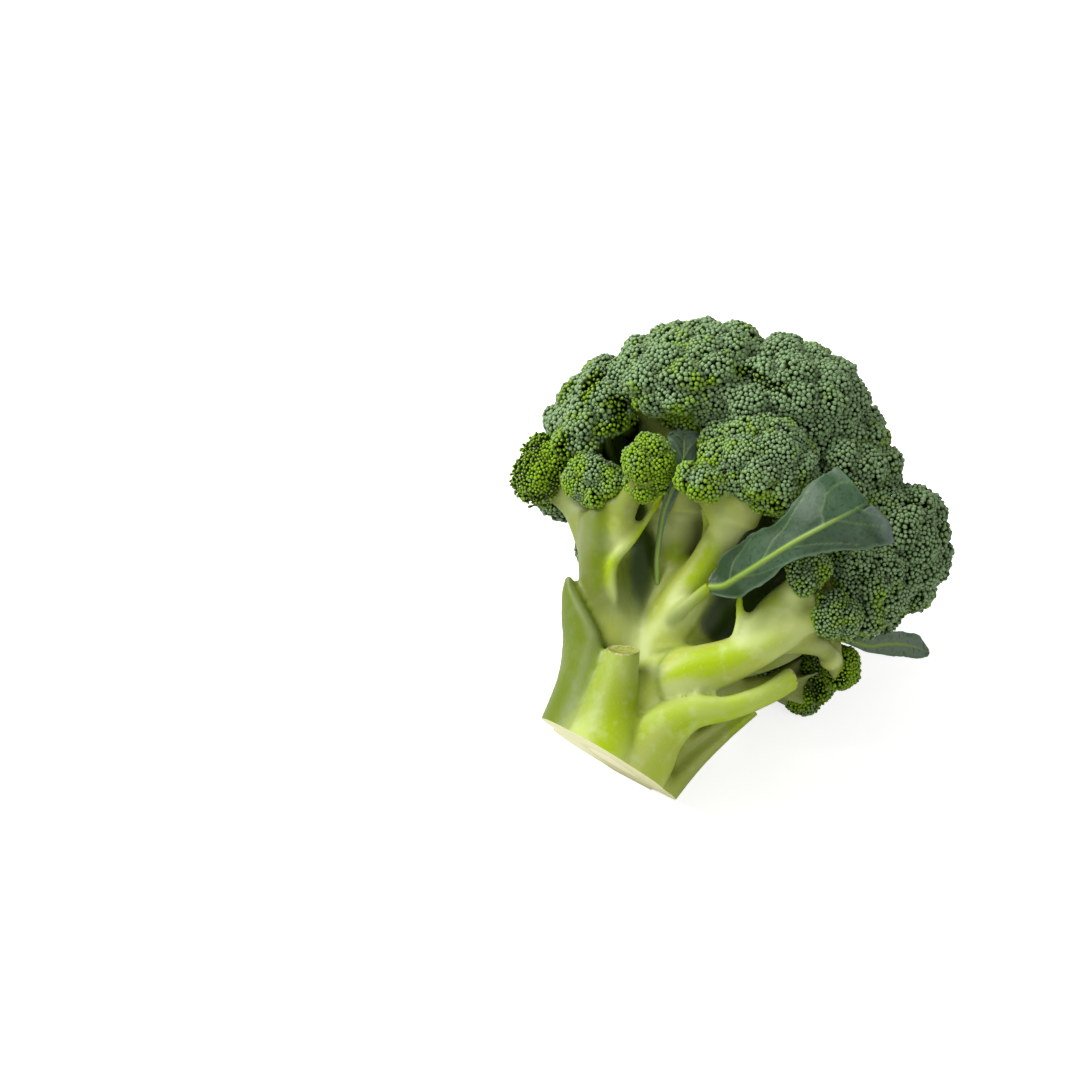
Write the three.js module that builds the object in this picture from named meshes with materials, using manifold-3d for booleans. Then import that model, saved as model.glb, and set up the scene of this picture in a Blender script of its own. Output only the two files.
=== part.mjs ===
// A broccoli head, cut and laid on its side: one branching stalk with the stubs of its leaf stalks, florets
// packed into a domed crown, and three leaves. Millimetres, +Z up. It is modelled upright, with the stalk's line
// on Z and the cut at the origin, and then laid down with that line over +X.
import * as THREE from 'three';
import { ConvexHull } from 'three/addons/math/ConvexHull.js';
import { mergeVertices } from 'three/addons/utils/BufferGeometryUtils.js';
import Module from 'manifold-3d';

const wasm = await Module();
wasm.setup();

// Driving dimensions. A place is [turn, out, up]: turn in degrees round the stalk, 0 on the side that it lies
// on and 180 on top, out from the stalk's line, and up from the cut.
const RISE = 30;                   // degrees from the surface up to the stalk's line
const FLOOR_BELOW = 17.5;          // from the cut's centre to the surface
const CUT = { slant: 18, towards: 211 };   // the knife's slope, and the turn where the stalk is longest
const CROWN = { at: [115, 3.5, 97], radius: 76, height: 66, least: 17 };   // bounds florets with r over least
const HEART = [0, 0, 50];          // every floret's tip points away from here
const GAP = 0.35;                  // between neighbouring pieces
const BUD = { pitch: 6.8, height: 1.9, shake: 0.35 };   // a bump for each few buds, larger than life
const LOBE = { pitch: 15, height: 2.2, spread: 0.6 };   // the knobs that buds gather in
const CAP = { edge: -0.4, blend: 0.3 };    // cosine of the angle from a floret's tip to its last buds
const UNDERSIDE = 0.66;            // how far the bare underside reaches, of the floret's radius
const WALL = 0.9;                  // no buds where a neighbour holds a floret to less of its own reach
const GLANCING = 0.05;             // least cosine at which a neighbour holds a floret in
const SPARSE = 5;                  // where no buds show, one point in this many is kept
const CREASE = 14;                 // higher makes the creases between florets sharper
const HEXAGON = 0.87;              // area round each point of an even spread, over its pitch squared
const TUBES = {                    // how many sides, and steps from each row to the next
  trunk: { sides: 14, steps: 2 }, limb: { sides: 8, steps: 2 }, floret: { sides: 6, steps: 1 },
  twig: { sides: 5, steps: 2 },
};

// Limbs of the stalk, in rows of [turn, out, up, half width round the stalk, half thickness].
const TRUNK = [
  [0, 0, -16, 20.5, 20.5], [0, 0, 6, 19.5, 19.5], [0, 0, 26, 19.5, 19.5], [0, 0, 44, 20, 20],
  [0, 0, 58, 16, 16], [0, 0, 76, 11, 11], [0, 0, 104, 8, 8],
];
const LEAF_STALKS = [
  [[190, 14, -18, 15, 10], [189, 18, -2, 13.5, 9.5], [187, 23, 12, 9.5, 7], [181, 30, 27, 6.4, 4.6]],
  [[140, 15, -18, 15, 10], [138, 19, 2, 13.5, 9.5], [136, 25, 17, 11, 7], [137, 32, 28, 9, 4.5],
    [139, 41, 36, 4.8, 3], [143, 46, 42, 1.2, 1.1]],
  [[232, 13, -18, 14, 10], [232, 17, 0, 12.5, 9], [232, 21, 11, 9.5, 8], [239, 28, 20, 5.6, 5.2],
    [250, 35, 28, 4.3, 4], [258, 41, 38, 4, 3.7], [265, 45, 49, 4.6, 3.4]],
  [[284, 14, -18, 12, 8], [284, 18, 0, 10, 7], [283, 22, 14, 7, 5.6], [280, 28, 27, 4.6, 3.8],
    [276, 34, 38, 3.4, 3]],
  [[12, 15, -18, 13, 8.5], [11, 18.5, 5, 11.5, 7.2], [10, 22, 20, 8, 5.6], [8, 30, 36, 3.4, 2.4]],
  [[68, 15, -18, 14, 9], [66, 19, 4, 12, 8], [62, 24, 20, 8, 6], [60, 30, 34, 3.6, 2.6]],
];
const BRANCHES = [
  [[144, 8, 18, 11, 10], [144, 20, 32, 9.5, 9], [144, 34.5, 45.5, 8.4, 8], [146.5, 45.5, 57, 7.8, 7],
    [148, 52, 65.5, 7.4, 6]],
  [[170, 6, 32, 12, 12], [170, 14, 52, 10.5, 10], [167, 19, 68, 8.5, 8.5], [162, 26, 86, 8, 8],
    [160, 36, 100, 8, 8]],
  [[186, 12, 34, 9, 9], [190, 21, 51, 7, 7], [196, 29.5, 66.5, 5.6, 5.2], [200, 41, 80, 6, 5.4]],
  [[222, 10, 20, 12, 10], [228, 21, 32, 10.5, 9], [240, 31, 42, 9.5, 8.5], [245, 41, 52.5, 7.5, 6.5],
    [247, 49, 64, 6, 5.4]],
  [[230, 24, 38, 6, 6], [232.5, 37, 54, 5, 4.6], [234, 48, 68, 4.4, 4.2], [240, 54, 76, 4, 4]],
  [[240, 30, 42, 6, 5], [247.5, 41, 52.5, 4.4, 4], [267, 46, 63, 3.6, 3.2], [287, 47, 68, 3.4, 3]],
];
const TWIGS = [
  [[188, 15, 42, 5, 5], [193, 23.5, 46, 3.4, 2.8], [200, 29, 51, 2.7, 2.4], [206, 36, 56.5, 2.3, 2]],
  [[232, 24, 42, 6, 4], [235, 31, 50, 4, 2.8], [228.5, 32.7, 56, 1.9, 1.5], [223, 33, 62, 0.7, 0.7]],
  [[156, 26, 36, 3.2, 2.4], [154, 39, 50.5, 2.6, 2.2], [158.5, 39.5, 63, 1.7, 1.6], [160, 39, 76, 1.3, 1.2]],
  [[193, 26, 68, 2.4, 2], [187, 33, 77, 1.4, 1.2], [183, 38, 81, 1.2, 1]],
];

// Florets: the middle and radius r of each, and where its own branch starts (from) and bends (via).
const FLORETS = {
  top: { at: [200, 6, 131], r: 34, from: [0, 0, 84] },
  front_upper: { at: [158, 53, 119], r: 31, from: [162, 26, 86] },
  front_top: { at: [197, 41, 126], r: 27.5, from: [206, 4, 66], via: [204, 20, 98] },
  left_shoulder: { at: [134, 65, 97], r: 25, from: [144, 10, 40], via: [140, 36, 70] },
  right_shoulder: { at: [233, 35, 112], r: 28, from: [226, 4, 40], via: [232, 20, 76] },
  right_far: { at: [263, 58, 105], r: 22.5, from: [252, 6, 50], via: [262, 34, 78] },
  back_right: { at: [306, 40, 106], r: 25, from: [298, 4, 50], via: [300, 24, 78] },
  back: { at: [345, 40, 116], r: 33, from: [345, 4, 54], via: [345, 22, 86] },
  back_left: { at: [30, 42, 116], r: 33, from: [30, 4, 54], via: [30, 24, 84] },
  left_back: { at: [85, 48, 112], r: 32, from: [85, 4, 50], via: [85, 26, 82] },
  far_left: { at: [108, 58, 88], r: 20, from: [118, 6, 40], via: [114, 30, 66] },
  left_ragged: { at: [128, 68, 76.5], r: 14, from: [144, 34, 46], via: [136, 50, 62] },
  small_left: { at: [150, 56, 71], r: 11, from: [149, 46, 60] },
  small_centre: { at: [168, 60, 80], r: 11, from: [152, 42, 58], via: [160, 51, 67] },
  front: { at: [202, 53, 94], r: 20.5, from: [200, 41, 80] },
  front_lobe: { at: [188, 60, 78], r: 10, from: [199, 40, 76], via: [192, 50, 77] },
  right: { at: [255, 57, 82], r: 18, from: [244, 44, 60], via: [250, 50, 70] },
  small_right: { at: [247.5, 59, 67], r: 11.5, from: [246, 46, 59] },
  small_upper_right: { at: [234, 55, 72], r: 10.5, from: [235, 48, 69] },
  small_low: { at: [305, 51, 73], r: 10, from: [285, 47, 67] },
  low_right: { at: [333, 55.5, 72], r: 12.5, from: [320, 8, 34], via: [325, 34, 54] },
  low: { at: [3, 45, 85], r: 23, from: [3, 6, 34], via: [3, 24, 58] },
  low_left: { at: [37, 52.5, 79], r: 24, from: [42, 6, 34], via: [42, 28, 58] },
  low_back: { at: [78, 46, 84], r: 19, from: [78, 6, 36], via: [78, 28, 60] },
  low_far: { at: [290, 42, 88], r: 16, from: [292, 6, 40], via: [294, 30, 64] },
};
const YOUNG = ['left_ragged', 'small_left', 'small_right', 'small_low', 'low_right'];
const FLORET_BRANCH = { root: 0.42, end: 0.3, short: 0.15 }; // half widths, and its stop short of at, of r

// Leaves, in rows along the midrib of [turn, out, up, half width on one side, on the other]. The ridge of the
// midrib points the way that faces says, each half bends back from it by fold degrees, and rib is its radius,
// which thins to LEAF_STEPS.tip of that.
const LEAVES = {
  large: {
    rows: [[206.5, 37, 57, 1.8, 4], [215, 56, 64, 8, 7.5], [221, 71, 72, 10, 8], [224, 78, 79, 15, 8.5],
      [229, 81, 92, 13, 14.5], [230, 76, 98, 11, 13.5]],
    faces: [211, 1, 0], fold: 20, wave: 1, thick: 0.9, rib: 2,
  },
  small: {
    rows: [[167, 25, 55, 0.8, 0.8], [166, 31, 61, 1.5, 1.5], [165.5, 37, 70, 1.8, 1.8], [166, 42, 78, 2, 2.6],
      [169, 46.5, 85, 4, 4.5], [171, 50, 91, 5.5, 5.5], [171, 51.5, 97, 4, 4]],
    faces: [211, 1, 0], fold: 30, wave: 0.5, thick: 0.8, rib: 0.9,
  },
  low: {
    rows: [[296, 31, 68, 1.4, 1.4], [306, 42, 81, 1.8, 1.8], [318, 60, 93, 5, 5], [325, 75.5, 103.5, 8, 7],
      [328, 90, 114, 1.4, 1.4]],
    faces: [180, 0.87, 0.5], fold: 10, wave: 0.8, thick: 0.9, rib: 1.6,
  },
};
const LEAF_STEPS = { along: 14, across: 6, crowd: 1.5, tip: 0.4 };  // crowd brings points nearer the midrib
const LEAF_WAVES = { along: 5, skew: 0.2, fullAt: 6 };     // fullAt is the half width that waves in full

const COLOURS = { stalk: 0xb4cc74, floret: 0x4c6b45, young: 0x7f9a35, leaf: 0x6e9484 };
const UP = new THREE.Vector3(0, 0, 1);
const TILT = THREE.MathUtils.degToRad(RISE);
const DOWN = place([0, Math.cos(TILT), -Math.sin(TILT)]);

function place([turn, out, up]) {
  const angle = THREE.MathUtils.degToRad(turn);
  return new THREE.Vector3(out * Math.cos(angle), out * Math.sin(angle), up);
}

// A fixed sequence of numbers from 0 to 1, so that every build is the same.
function draw(seed) {
  const x = Math.sin(seed * 12.9898) * 43758.5453;
  return x - Math.floor(x);
}

function solid(geometry) {
  geometry.deleteAttribute('normal');
  geometry.deleteAttribute('uv');
  const merged = mergeVertices(geometry, 1e-4);
  return new wasm.Manifold(new wasm.Mesh({
    numProp: 3,
    vertProperties: new Float32Array(merged.attributes.position.array),
    triVerts: new Uint32Array(merged.index.array),
  }));
}

function geometryOf(manifold) {
  const mesh = manifold.getMesh();
  const geometry = new THREE.BufferGeometry();
  geometry.setAttribute('position', new THREE.BufferAttribute(mesh.vertProperties, 3));
  geometry.setIndex(new THREE.BufferAttribute(mesh.triVerts, 1));
  return geometry;
}

// The largest body of a solid, because a cut may leave crumbs beside it.
function largest(manifold) {
  return manifold.decompose().reduce((best, piece) => (piece.volume() > best.volume() ? piece : best));
}

function join(solids) {
  return solids.reduce((whole, piece) => whole.add(piece));
}

// Everything past a plane, which lies square to the way out and so far along it.
function beyond(wayOut, distance) {
  const reach = 400;
  const block = new THREE.BoxGeometry(reach, reach, reach);
  block.applyQuaternion(new THREE.Quaternion().setFromUnitVectors(UP, wayOut));
  const middle = wayOut.clone().multiplyScalar(distance + reach / 2);
  block.translate(middle.x, middle.y, middle.z);
  return solid(block);
}

function between(rows, t) {
  const last = rows.length - 1;
  const step = Math.min(Math.floor(t * last), last - 1);
  return rows[step].map((value, k) => THREE.MathUtils.lerp(value, rows[step + 1][k], t * last - step));
}

// A tube along a smooth route through its rows, with an oval section that changes from row to row.
function limb(rows, { sides, steps }, grown) {
  const route = new THREE.CatmullRomCurve3(rows.map(place), false, 'centripetal');
  const tube = new THREE.CylinderGeometry(1, 1, 1, sides, steps * (rows.length - 1));
  const at = tube.attributes.position;
  for (let i = 0; i < at.count; i++) {
    const t = THREE.MathUtils.clamp(at.getY(i) + 0.5, 0, 1);
    const [turn, , , width, thickness] = between(rows, t);
    const ahead = route.getTangent(t);
    const round = UP.clone().cross(place([turn, 1, 0]));
    round.addScaledVector(ahead, -round.dot(ahead)).normalize();
    const outward = ahead.clone().cross(round);
    const point = route.getPoint(t);
    if (t === 0 || t === 1) point.addScaledVector(ahead, grown * (2 * t - 1));
    point.addScaledVector(round, at.getZ(i) * (width + grown));
    point.addScaledVector(outward, at.getX(i) * (thickness + grown));
    at.setXYZ(i, point.x, point.y, point.z);
  }
  return solid(tube);
}

// The branch of the stalk that goes into one floret.
function floretBranch({ at, r, from, via }, grown) {
  const start = place(from);
  const middle = place(at);
  const bend = via ? place(via) : start.clone().lerp(middle, 0.5);
  const ahead = middle.clone().sub(bend).normalize();
  const end = middle.addScaledVector(ahead, -FLORET_BRANCH.short * r);
  const [root, tip] = [FLORET_BRANCH.root * r, FLORET_BRANCH.end * r];
  const halves = [root, (root + tip) / 2, tip];
  const rows = [start, bend, end].map((point, k) => {
    const turn = at[0] + THREE.MathUtils.euclideanModulo(turnOf(point, at[0]) - at[0] + 180, 360) - 180;
    return [turn, Math.hypot(point.x, point.y), point.z, halves[k], halves[k]];
  });
  return limb(rows, TUBES.floret, grown);
}

// The turn that a point is at, or another one if it is on the stalk's line.
function turnOf(point, otherwise) {
  if (Math.hypot(point.x, point.y) < 1) return otherwise;
  return THREE.MathUtils.radToDeg(Math.atan2(point.y, point.x));
}

// The whole stalk; grown by the gap, it is the room that florets and leaves leave round it.
function stalkSolid(grown) {
  return join([
    limb(TRUNK, TUBES.trunk, grown),
    ...[...LEAF_STALKS, ...BRANCHES].map((rows) => limb(rows, TUBES.limb, grown)),
    ...TWIGS.map((rows) => limb(rows, TUBES.twig, grown)),
    ...Object.values(FLORETS).map((floret) => floretBranch(floret, grown)),
  ]);
}

// Directions spread evenly over a sphere in a spiral, from the tip's side to the far side.
function spread(count, tip, seed) {
  const turn = Math.PI * (3 - Math.sqrt(5));
  const aim = new THREE.Quaternion().setFromUnitVectors(UP, tip);
  return Array.from({ length: count }, (_, k) => {
    const height = 1 - (2 * k + 1) / count;
    const ring = Math.sqrt(1 - height * height);
    const angle = k * turn + seed;
    return new THREE.Vector3(ring * Math.cos(angle), ring * Math.sin(angle), height).applyQuaternion(aim);
  });
}

function countOver(radius, pitch) {
  return Math.round((4 * Math.PI * radius * radius) / (HEXAGON * pitch * pitch));
}

// How far a floret reaches from its middle, one way: its lobed ball, held in by the dome and its neighbours.
function reachOf(name) {
  const { at, r } = FLORETS[name];
  const middle = place(at);
  const tip = middle.clone().sub(place(HEART)).normalize();
  const seed = Object.keys(FLORETS).indexOf(name);
  const lobes = spread(countOver(r, LOBE.pitch), tip, seed);
  const walls = Object.values(FLORETS).filter((other) => other !== FLORETS[name]).map((other) => {
    const away = place(other.at).sub(middle);
    const apart = away.length();
    return { away: away.normalize(), distance: (apart * r) / (r + other.r) - GAP / 2 };
  });
  const ball = (way) => {
    const nearest = Math.max(...lobes.map((lobe) => lobe.dot(way)));
    const aside = (Math.acos(Math.min(nearest, 1)) * r) / (LOBE.spread * LOBE.pitch);
    const lobed = r - LOBE.height * Math.min(aside * aside, 1);
    const under = THREE.MathUtils.smoothstep(CAP.edge + CAP.blend / 2 - way.dot(tip), 0, CAP.blend);
    return lobed * THREE.MathUtils.lerp(1, UNDERSIDE, under);
  };
  const dome = (way) => {
    const scale = new THREE.Vector3(1 / CROWN.radius, 1 / CROWN.radius, 1 / CROWN.height);
    const from = middle.clone().sub(place(CROWN.at)).multiply(scale);
    const along = way.clone().multiply(scale);
    const [a, b, c] = [along.dot(along), from.dot(along), from.dot(from) - 1];
    return (Math.sqrt(b * b - a * c) - b) / a;
  };
  const own = (way) => (r < CROWN.least ? [ball(way)] : [ball(way), dome(way)]);
  const held = (way) => walls.map(({ away, distance }) => distance / Math.max(away.dot(way), GLANCING));
  const soften = (limits) => limits.reduce((sum, limit) => sum + limit ** -CREASE, 0) ** (-1 / CREASE);
  return {
    middle, tip, r, seed,
    reach: (way) => soften([...own(way), ...held(way)]),
    open: (way) => Math.min(...held(way)) > WALL * Math.min(...own(way)),
  };
}

// A floret: a closed skin round its middle. Each bud point is a peak in a ring of lower points, which lie
// between it and its neighbours, and the parts where no buds show are plain and coarse.
function floretSolid(name) {
  const { middle, tip, r, seed, reach, open } = reachOf(name);
  const ways = spread(countOver(r, BUD.pitch), tip, 3 * seed);
  const points = ways.map((way, k) => {
    const shake = new THREE.Vector3(...[0, 0.3, 0.7].map((part) => draw(k + seed + part) - 0.5));
    way.addScaledVector(shake, (BUD.shake * BUD.pitch) / r).normalize();
    const depth = at(way, 0).dot(DOWN);
    return { way, bud: way.dot(tip) > CAP.edge && open(way) && depth < FLOOR_BELOW + BUD.height };
  }).filter((point, k) => point.bud || k % SPARSE === 0);
  function at(way, sunk) {
    return middle.clone().addScaledVector(way, reach(way) - sunk);
  }

  const vertices = points.map(({ way }) => at(way, 0));
  const index = new Map(points.map(({ way }, k) => [way, k]));
  const hull = new ConvexHull().setFromPoints(points.map(({ way }) => way));
  const cornersOf = (face) => [0, 1, 2].map((k) => index.get(face.getEdge(k).head().point));
  const lowPoint = new Map();
  for (const face of hull.faces) {
    const corners = cornersOf(face);
    if (!corners.every((k) => points[k].bud)) continue;
    const way = corners.reduce((sum, k) => sum.add(points[k].way), new THREE.Vector3()).normalize();
    lowPoint.set(face, vertices.push(at(way, BUD.height)) - 1);
  }
  const triangles = [];
  for (const face of hull.faces) {
    const low = lowPoint.get(face);
    if (low === undefined) {
      triangles.push(...cornersOf(face));
      continue;
    }
    for (let k = 0; k < 3; k++) {
      const edge = face.getEdge(k);
      const peak = index.get(edge.tail().point);
      triangles.push(peak, lowPoint.get(edge.twin.face) ?? index.get(edge.head().point), low);
    }
  }
  const skin = new THREE.BufferGeometry().setFromPoints(vertices);
  skin.setIndex(triangles);
  return solid(skin);
}

// A leaf: a thin waved blade, split into triangles alike on both faces, and thicker along its midrib.
function leafSolid({ rows, faces, fold, wave, thick, rib }, grown) {
  const { along, across, crowd, tip } = LEAF_STEPS;
  const route = new THREE.CatmullRomCurve3(rows.map(place), false, 'centripetal');
  const bend = THREE.MathUtils.degToRad(fold);
  const grid = new THREE.PlaneGeometry(1, 1, along, across);
  const corners = grid.attributes.position;
  const sheets = [[], []];
  for (let i = 0; i < corners.count; i++) {
    const t = THREE.MathUtils.clamp(corners.getX(i) + 0.5, 0, 1);
    const s = Math.sign(corners.getY(i)) * (2 * Math.abs(corners.getY(i))) ** crowd;
    const [, , , one, other] = between(rows, t);
    const ahead = route.getTangent(t);
    const side = place(faces).cross(ahead).normalize();
    const normal = ahead.clone().cross(side);
    const half = (s > 0 ? one : other) + grown;
    const height = wave * s * s * Math.min(half / LEAF_WAVES.fullAt, 1);
    const ripple = height * Math.sin(2 * Math.PI * (LEAF_WAVES.along * t + LEAF_WAVES.skew * s));
    const point = route.getPoint(t).addScaledVector(side, s * half * Math.cos(bend));
    point.addScaledVector(normal, ripple - Math.abs(s) * half * Math.sin(bend));
    const radius = s === 0 ? THREE.MathUtils.lerp(rib, tip * rib, t) : thick / 2;
    sheets[0].push(point.clone().addScaledVector(normal, radius + grown));
    sheets[1].push(point.addScaledVector(normal, -radius - grown));
  }
  const top = Array.from(grid.index.array);
  const under = corners.count;
  const triangles = [...top];
  for (let k = 0; k < top.length; k += 3) {
    triangles.push(top[k] + under, top[k + 2] + under, top[k + 1] + under);
  }
  const rim = [];
  for (let k = 0; k < along; k++) rim.push(k);
  for (let k = 0; k < across; k++) rim.push(k * (along + 1) + along);
  for (let k = along; k > 0; k--) rim.push(across * (along + 1) + k);
  for (let k = across; k > 0; k--) rim.push(k * (along + 1));
  rim.forEach((a, k) => {
    const b = rim[(k + 1) % rim.length];
    triangles.push(a, b, b + under, a, b + under, a + under);
  });
  const blade = new THREE.BufferGeometry().setFromPoints(sheets.flat());
  blade.setIndex(triangles);
  return solid(blade);
}

function coloured(name, manifold, colour, roughness) {
  const material = new THREE.MeshStandardMaterial({ color: colour, roughness, metalness: 0 });
  const mesh = new THREE.Mesh(geometryOf(manifold), material);
  mesh.name = name;
  return mesh;
}

const surface = beyond(DOWN, FLOOR_BELOW);
const slope = Math.tan(THREE.MathUtils.degToRad(CUT.slant));
const knife = beyond(place([CUT.towards, slope, 1]).normalize().negate(), 0);
const stalk = largest(stalkSolid(0).subtract(knife).subtract(surface));
const roomForStalk = stalkSolid(GAP);
const roomForLeaves = join(Object.values(LEAVES).map((leaf) => leafSolid(leaf, GAP)));

const head = new THREE.Group();
head.add(coloured('stalk', stalk, COLOURS.stalk, 0.45));
for (const [name, leaf] of Object.entries(LEAVES)) {
  head.add(coloured(`leaf_${name}`, largest(leafSolid(leaf, 0).subtract(roomForStalk)), COLOURS.leaf, 0.5));
}
for (const name of Object.keys(FLORETS)) {
  const floret = largest(floretSolid(name).subtract(roomForStalk).subtract(roomForLeaves).subtract(surface));
  head.add(coloured(`floret_${name}`, floret, YOUNG.includes(name) ? COLOURS.young : COLOURS.floret, 0.7));
}

// Laid down, with the middle of its outline over the origin.
head.rotation.y = THREE.MathUtils.degToRad(90 - RISE);
head.updateMatrixWorld(true);
const middle = new THREE.Box3().setFromObject(head, true).getCenter(new THREE.Vector3());
head.position.set(-middle.x, -middle.y, FLOOR_BELOW);

const broccoli = new THREE.Group();
broccoli.add(head);
export default broccoli;
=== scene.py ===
import math

import bpy
import numpy as np
from mathutils import Matrix, Vector
from mathutils.bvhtree import BVHTree
from mathutils.kdtree import KDTree


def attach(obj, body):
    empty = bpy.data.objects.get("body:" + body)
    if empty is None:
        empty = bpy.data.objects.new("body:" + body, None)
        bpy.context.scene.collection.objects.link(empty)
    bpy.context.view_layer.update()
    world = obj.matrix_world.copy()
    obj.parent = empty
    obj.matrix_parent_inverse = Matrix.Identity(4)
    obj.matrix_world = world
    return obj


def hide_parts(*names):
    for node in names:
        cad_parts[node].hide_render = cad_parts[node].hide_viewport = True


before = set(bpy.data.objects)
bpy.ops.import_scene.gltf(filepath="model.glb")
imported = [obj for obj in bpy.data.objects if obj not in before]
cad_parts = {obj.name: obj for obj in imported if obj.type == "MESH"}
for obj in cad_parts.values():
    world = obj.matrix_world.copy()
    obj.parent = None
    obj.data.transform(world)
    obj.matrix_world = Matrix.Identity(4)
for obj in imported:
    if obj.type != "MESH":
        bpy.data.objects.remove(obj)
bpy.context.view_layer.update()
mm = 0.001

# the head lies on its side: a place on it is turn (0 underneath, 180 on top), out and up
head = {
    "rise": 30,                      # degrees from the surface up to the stalk's line
    "cutMiddle": (-64.76, -2.0, 17.5),
    "heart": (0, 0, 50),             # the florets' tips point away from here
    "knifeSlope": 14,
    "knifeTowards": 211,
    "seed": 7,
}
headAxes = Matrix.Rotation(math.radians(90 - head["rise"]), 3, "Y")


def place(turn, out, up):
    angle = math.radians(turn)
    upright = Vector((out * math.cos(angle), out * math.sin(angle), up))
    return (headAxes @ upright + Vector(head["cutMiddle"])) * mm


def wayOut(turn, out, up):
    return (place(turn, out, up) - place(0, 0, 0)).normalized()


def freshStart():
    if bpy.context.object and bpy.context.object.mode != "OBJECT":
        bpy.ops.object.mode_set(mode="OBJECT")
    bpy.ops.object.select_all(action="DESELECT")


def pick(*pieces):
    freshStart()
    for piece in pieces:
        piece.select_set(True)
    bpy.context.view_layer.objects.active = pieces[0]


def joined(pieces, name):
    pick(*pieces)
    if len(pieces) > 1:
        bpy.ops.object.join()
    piece = bpy.context.object
    piece.name = name
    piece.data.name = name
    return piece


def finishWith(piece, kind, **settings):
    pick(piece)
    modifier = piece.modifiers.new(kind.lower(), kind)
    for key, value in settings.items():
        setattr(modifier, key, value)
    bpy.ops.object.modifier_apply(modifier=modifier.name)


def smoothed(piece, rounds):
    finishWith(piece, "SMOOTH", factor=0.5, iterations=rounds)


def fused(piece, voxel, rounds):
    # one closed surface over all that is in the piece
    finishWith(piece, "REMESH", mode="VOXEL", voxel_size=voxel * mm)
    smoothed(piece, rounds)


def swollen(piece, by):
    finishWith(piece, "DISPLACE", strength=by * mm, mid_level=0.0)


def pointsOf(mesh):
    flat = np.empty(len(mesh.vertices) * 3)
    mesh.vertices.foreach_get("co", flat)
    return flat.reshape(-1, 3)


def movePoints(mesh, points):
    mesh.vertices.foreach_set("co", np.asarray(points, np.float32).ravel())
    mesh.update()


def normalsOf(mesh):
    flat = np.empty(len(mesh.vertices) * 3)
    mesh.vertices.foreach_get("normal", flat)
    return flat.reshape(-1, 3)


def paint(mesh, name, values):
    layer = mesh.attributes.get(name) or mesh.attributes.new(name, "FLOAT", "POINT")
    layer.data.foreach_set("value", np.asarray(values, np.float32).ravel())


def paintFaces(mesh, name, values):
    # the same value at every corner of a face, so that it ends sharply
    totals = np.empty(len(mesh.polygons), int)
    mesh.polygons.foreach_get("loop_total", totals)
    layer = mesh.attributes.new(name, "FLOAT", "CORNER")
    layer.data.foreach_set("value", np.repeat(np.asarray(values, float), totals))


def facesOf(mesh):
    centres, normals = (np.empty(len(mesh.polygons) * 3) for _ in range(2))
    mesh.polygons.foreach_get("center", centres)
    mesh.polygons.foreach_get("normal", normals)
    return centres.reshape(-1, 3), normals.reshape(-1, 3)


def blurred(mesh, values, rounds):
    pairs = np.empty(len(mesh.edges) * 2, int)
    mesh.edges.foreach_get("vertices", pairs)
    one, other = pairs.reshape(-1, 2).T
    values = np.array(values, float)
    many = np.bincount(one, minlength=len(values)) + np.bincount(other, minlength=len(values))
    for _ in range(rounds):
        total = (np.bincount(one, values[other], len(values))
                 + np.bincount(other, values[one], len(values)))
        values = 0.4 * values + 0.6 * total / np.maximum(many, 1)
    return values


def ramp(values, low, high):
    t = np.clip((np.asarray(values, float) - low) / (high - low), 0, 1)
    return t * t * (3 - 2 * t)


scramble = {"way": (12.99, 78.23, 37.72), "size": 4375.85}      # turns a grid corner into an unrelated number


def waves(points):
    # smooth noise between -1 and 1 at many places, one bump to a unit
    points = np.asarray(points, float)
    points = np.pad(points, ((0, 0), (0, 3 - points.shape[1])))
    corner = np.floor(points)
    part = points - corner
    part = part * part * (3 - 2 * part)
    total = np.zeros(len(points))
    for k in range(8):
        step = np.array([k & 1, k >> 1 & 1, k >> 2 & 1])
        value = np.sin((corner + step) @ scramble["way"]) * scramble["size"]
        total += (2 * (value - np.floor(value)) - 1) * np.where(step, part, 1 - part).prod(1)
    return total


def link(tree, start, end):
    tree.links.new(start, end)


def added(tree, kind, **settings):
    made = tree.nodes.new(kind)
    for key, value in settings.items():
        setattr(made, key, value)
    return made


def mixedColour(tree, share, one, other):
    mix = added(tree, "ShaderNodeMix", data_type="RGBA")
    put(tree, mix.inputs[0], share)
    put(tree, mix.inputs[6], one)
    put(tree, mix.inputs[7], other)
    return mix.outputs[2]


def worked(tree, operation, *values):
    result = added(tree, "ShaderNodeMath", operation=operation)
    result.use_clamp = True
    for socket, value in zip(result.inputs, values):
        put(tree, socket, value)
    return result.outputs[0]


def put(tree, socket, value):
    if isinstance(value, bpy.types.NodeSocket):
        link(tree, value, socket)
    elif isinstance(value, tuple) and len(value) == 3 and socket.type == "RGBA":
        socket.default_value = (*value, 1)
    else:
        socket.default_value = value


def painted(tree, name):
    return added(tree, "ShaderNodeAttribute", attribute_name=name).outputs["Fac"]


def spread(tree, value, low, high, to=(0, 1)):
    span = added(tree, "ShaderNodeMapRange", interpolation_type="SMOOTHSTEP")
    put(tree, span.inputs["Value"], value)
    for key, number in zip(("From Min", "From Max", "To Min", "To Max"), (low, high, *to)):
        span.inputs[key].default_value = number
    return span.outputs["Result"]


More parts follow.
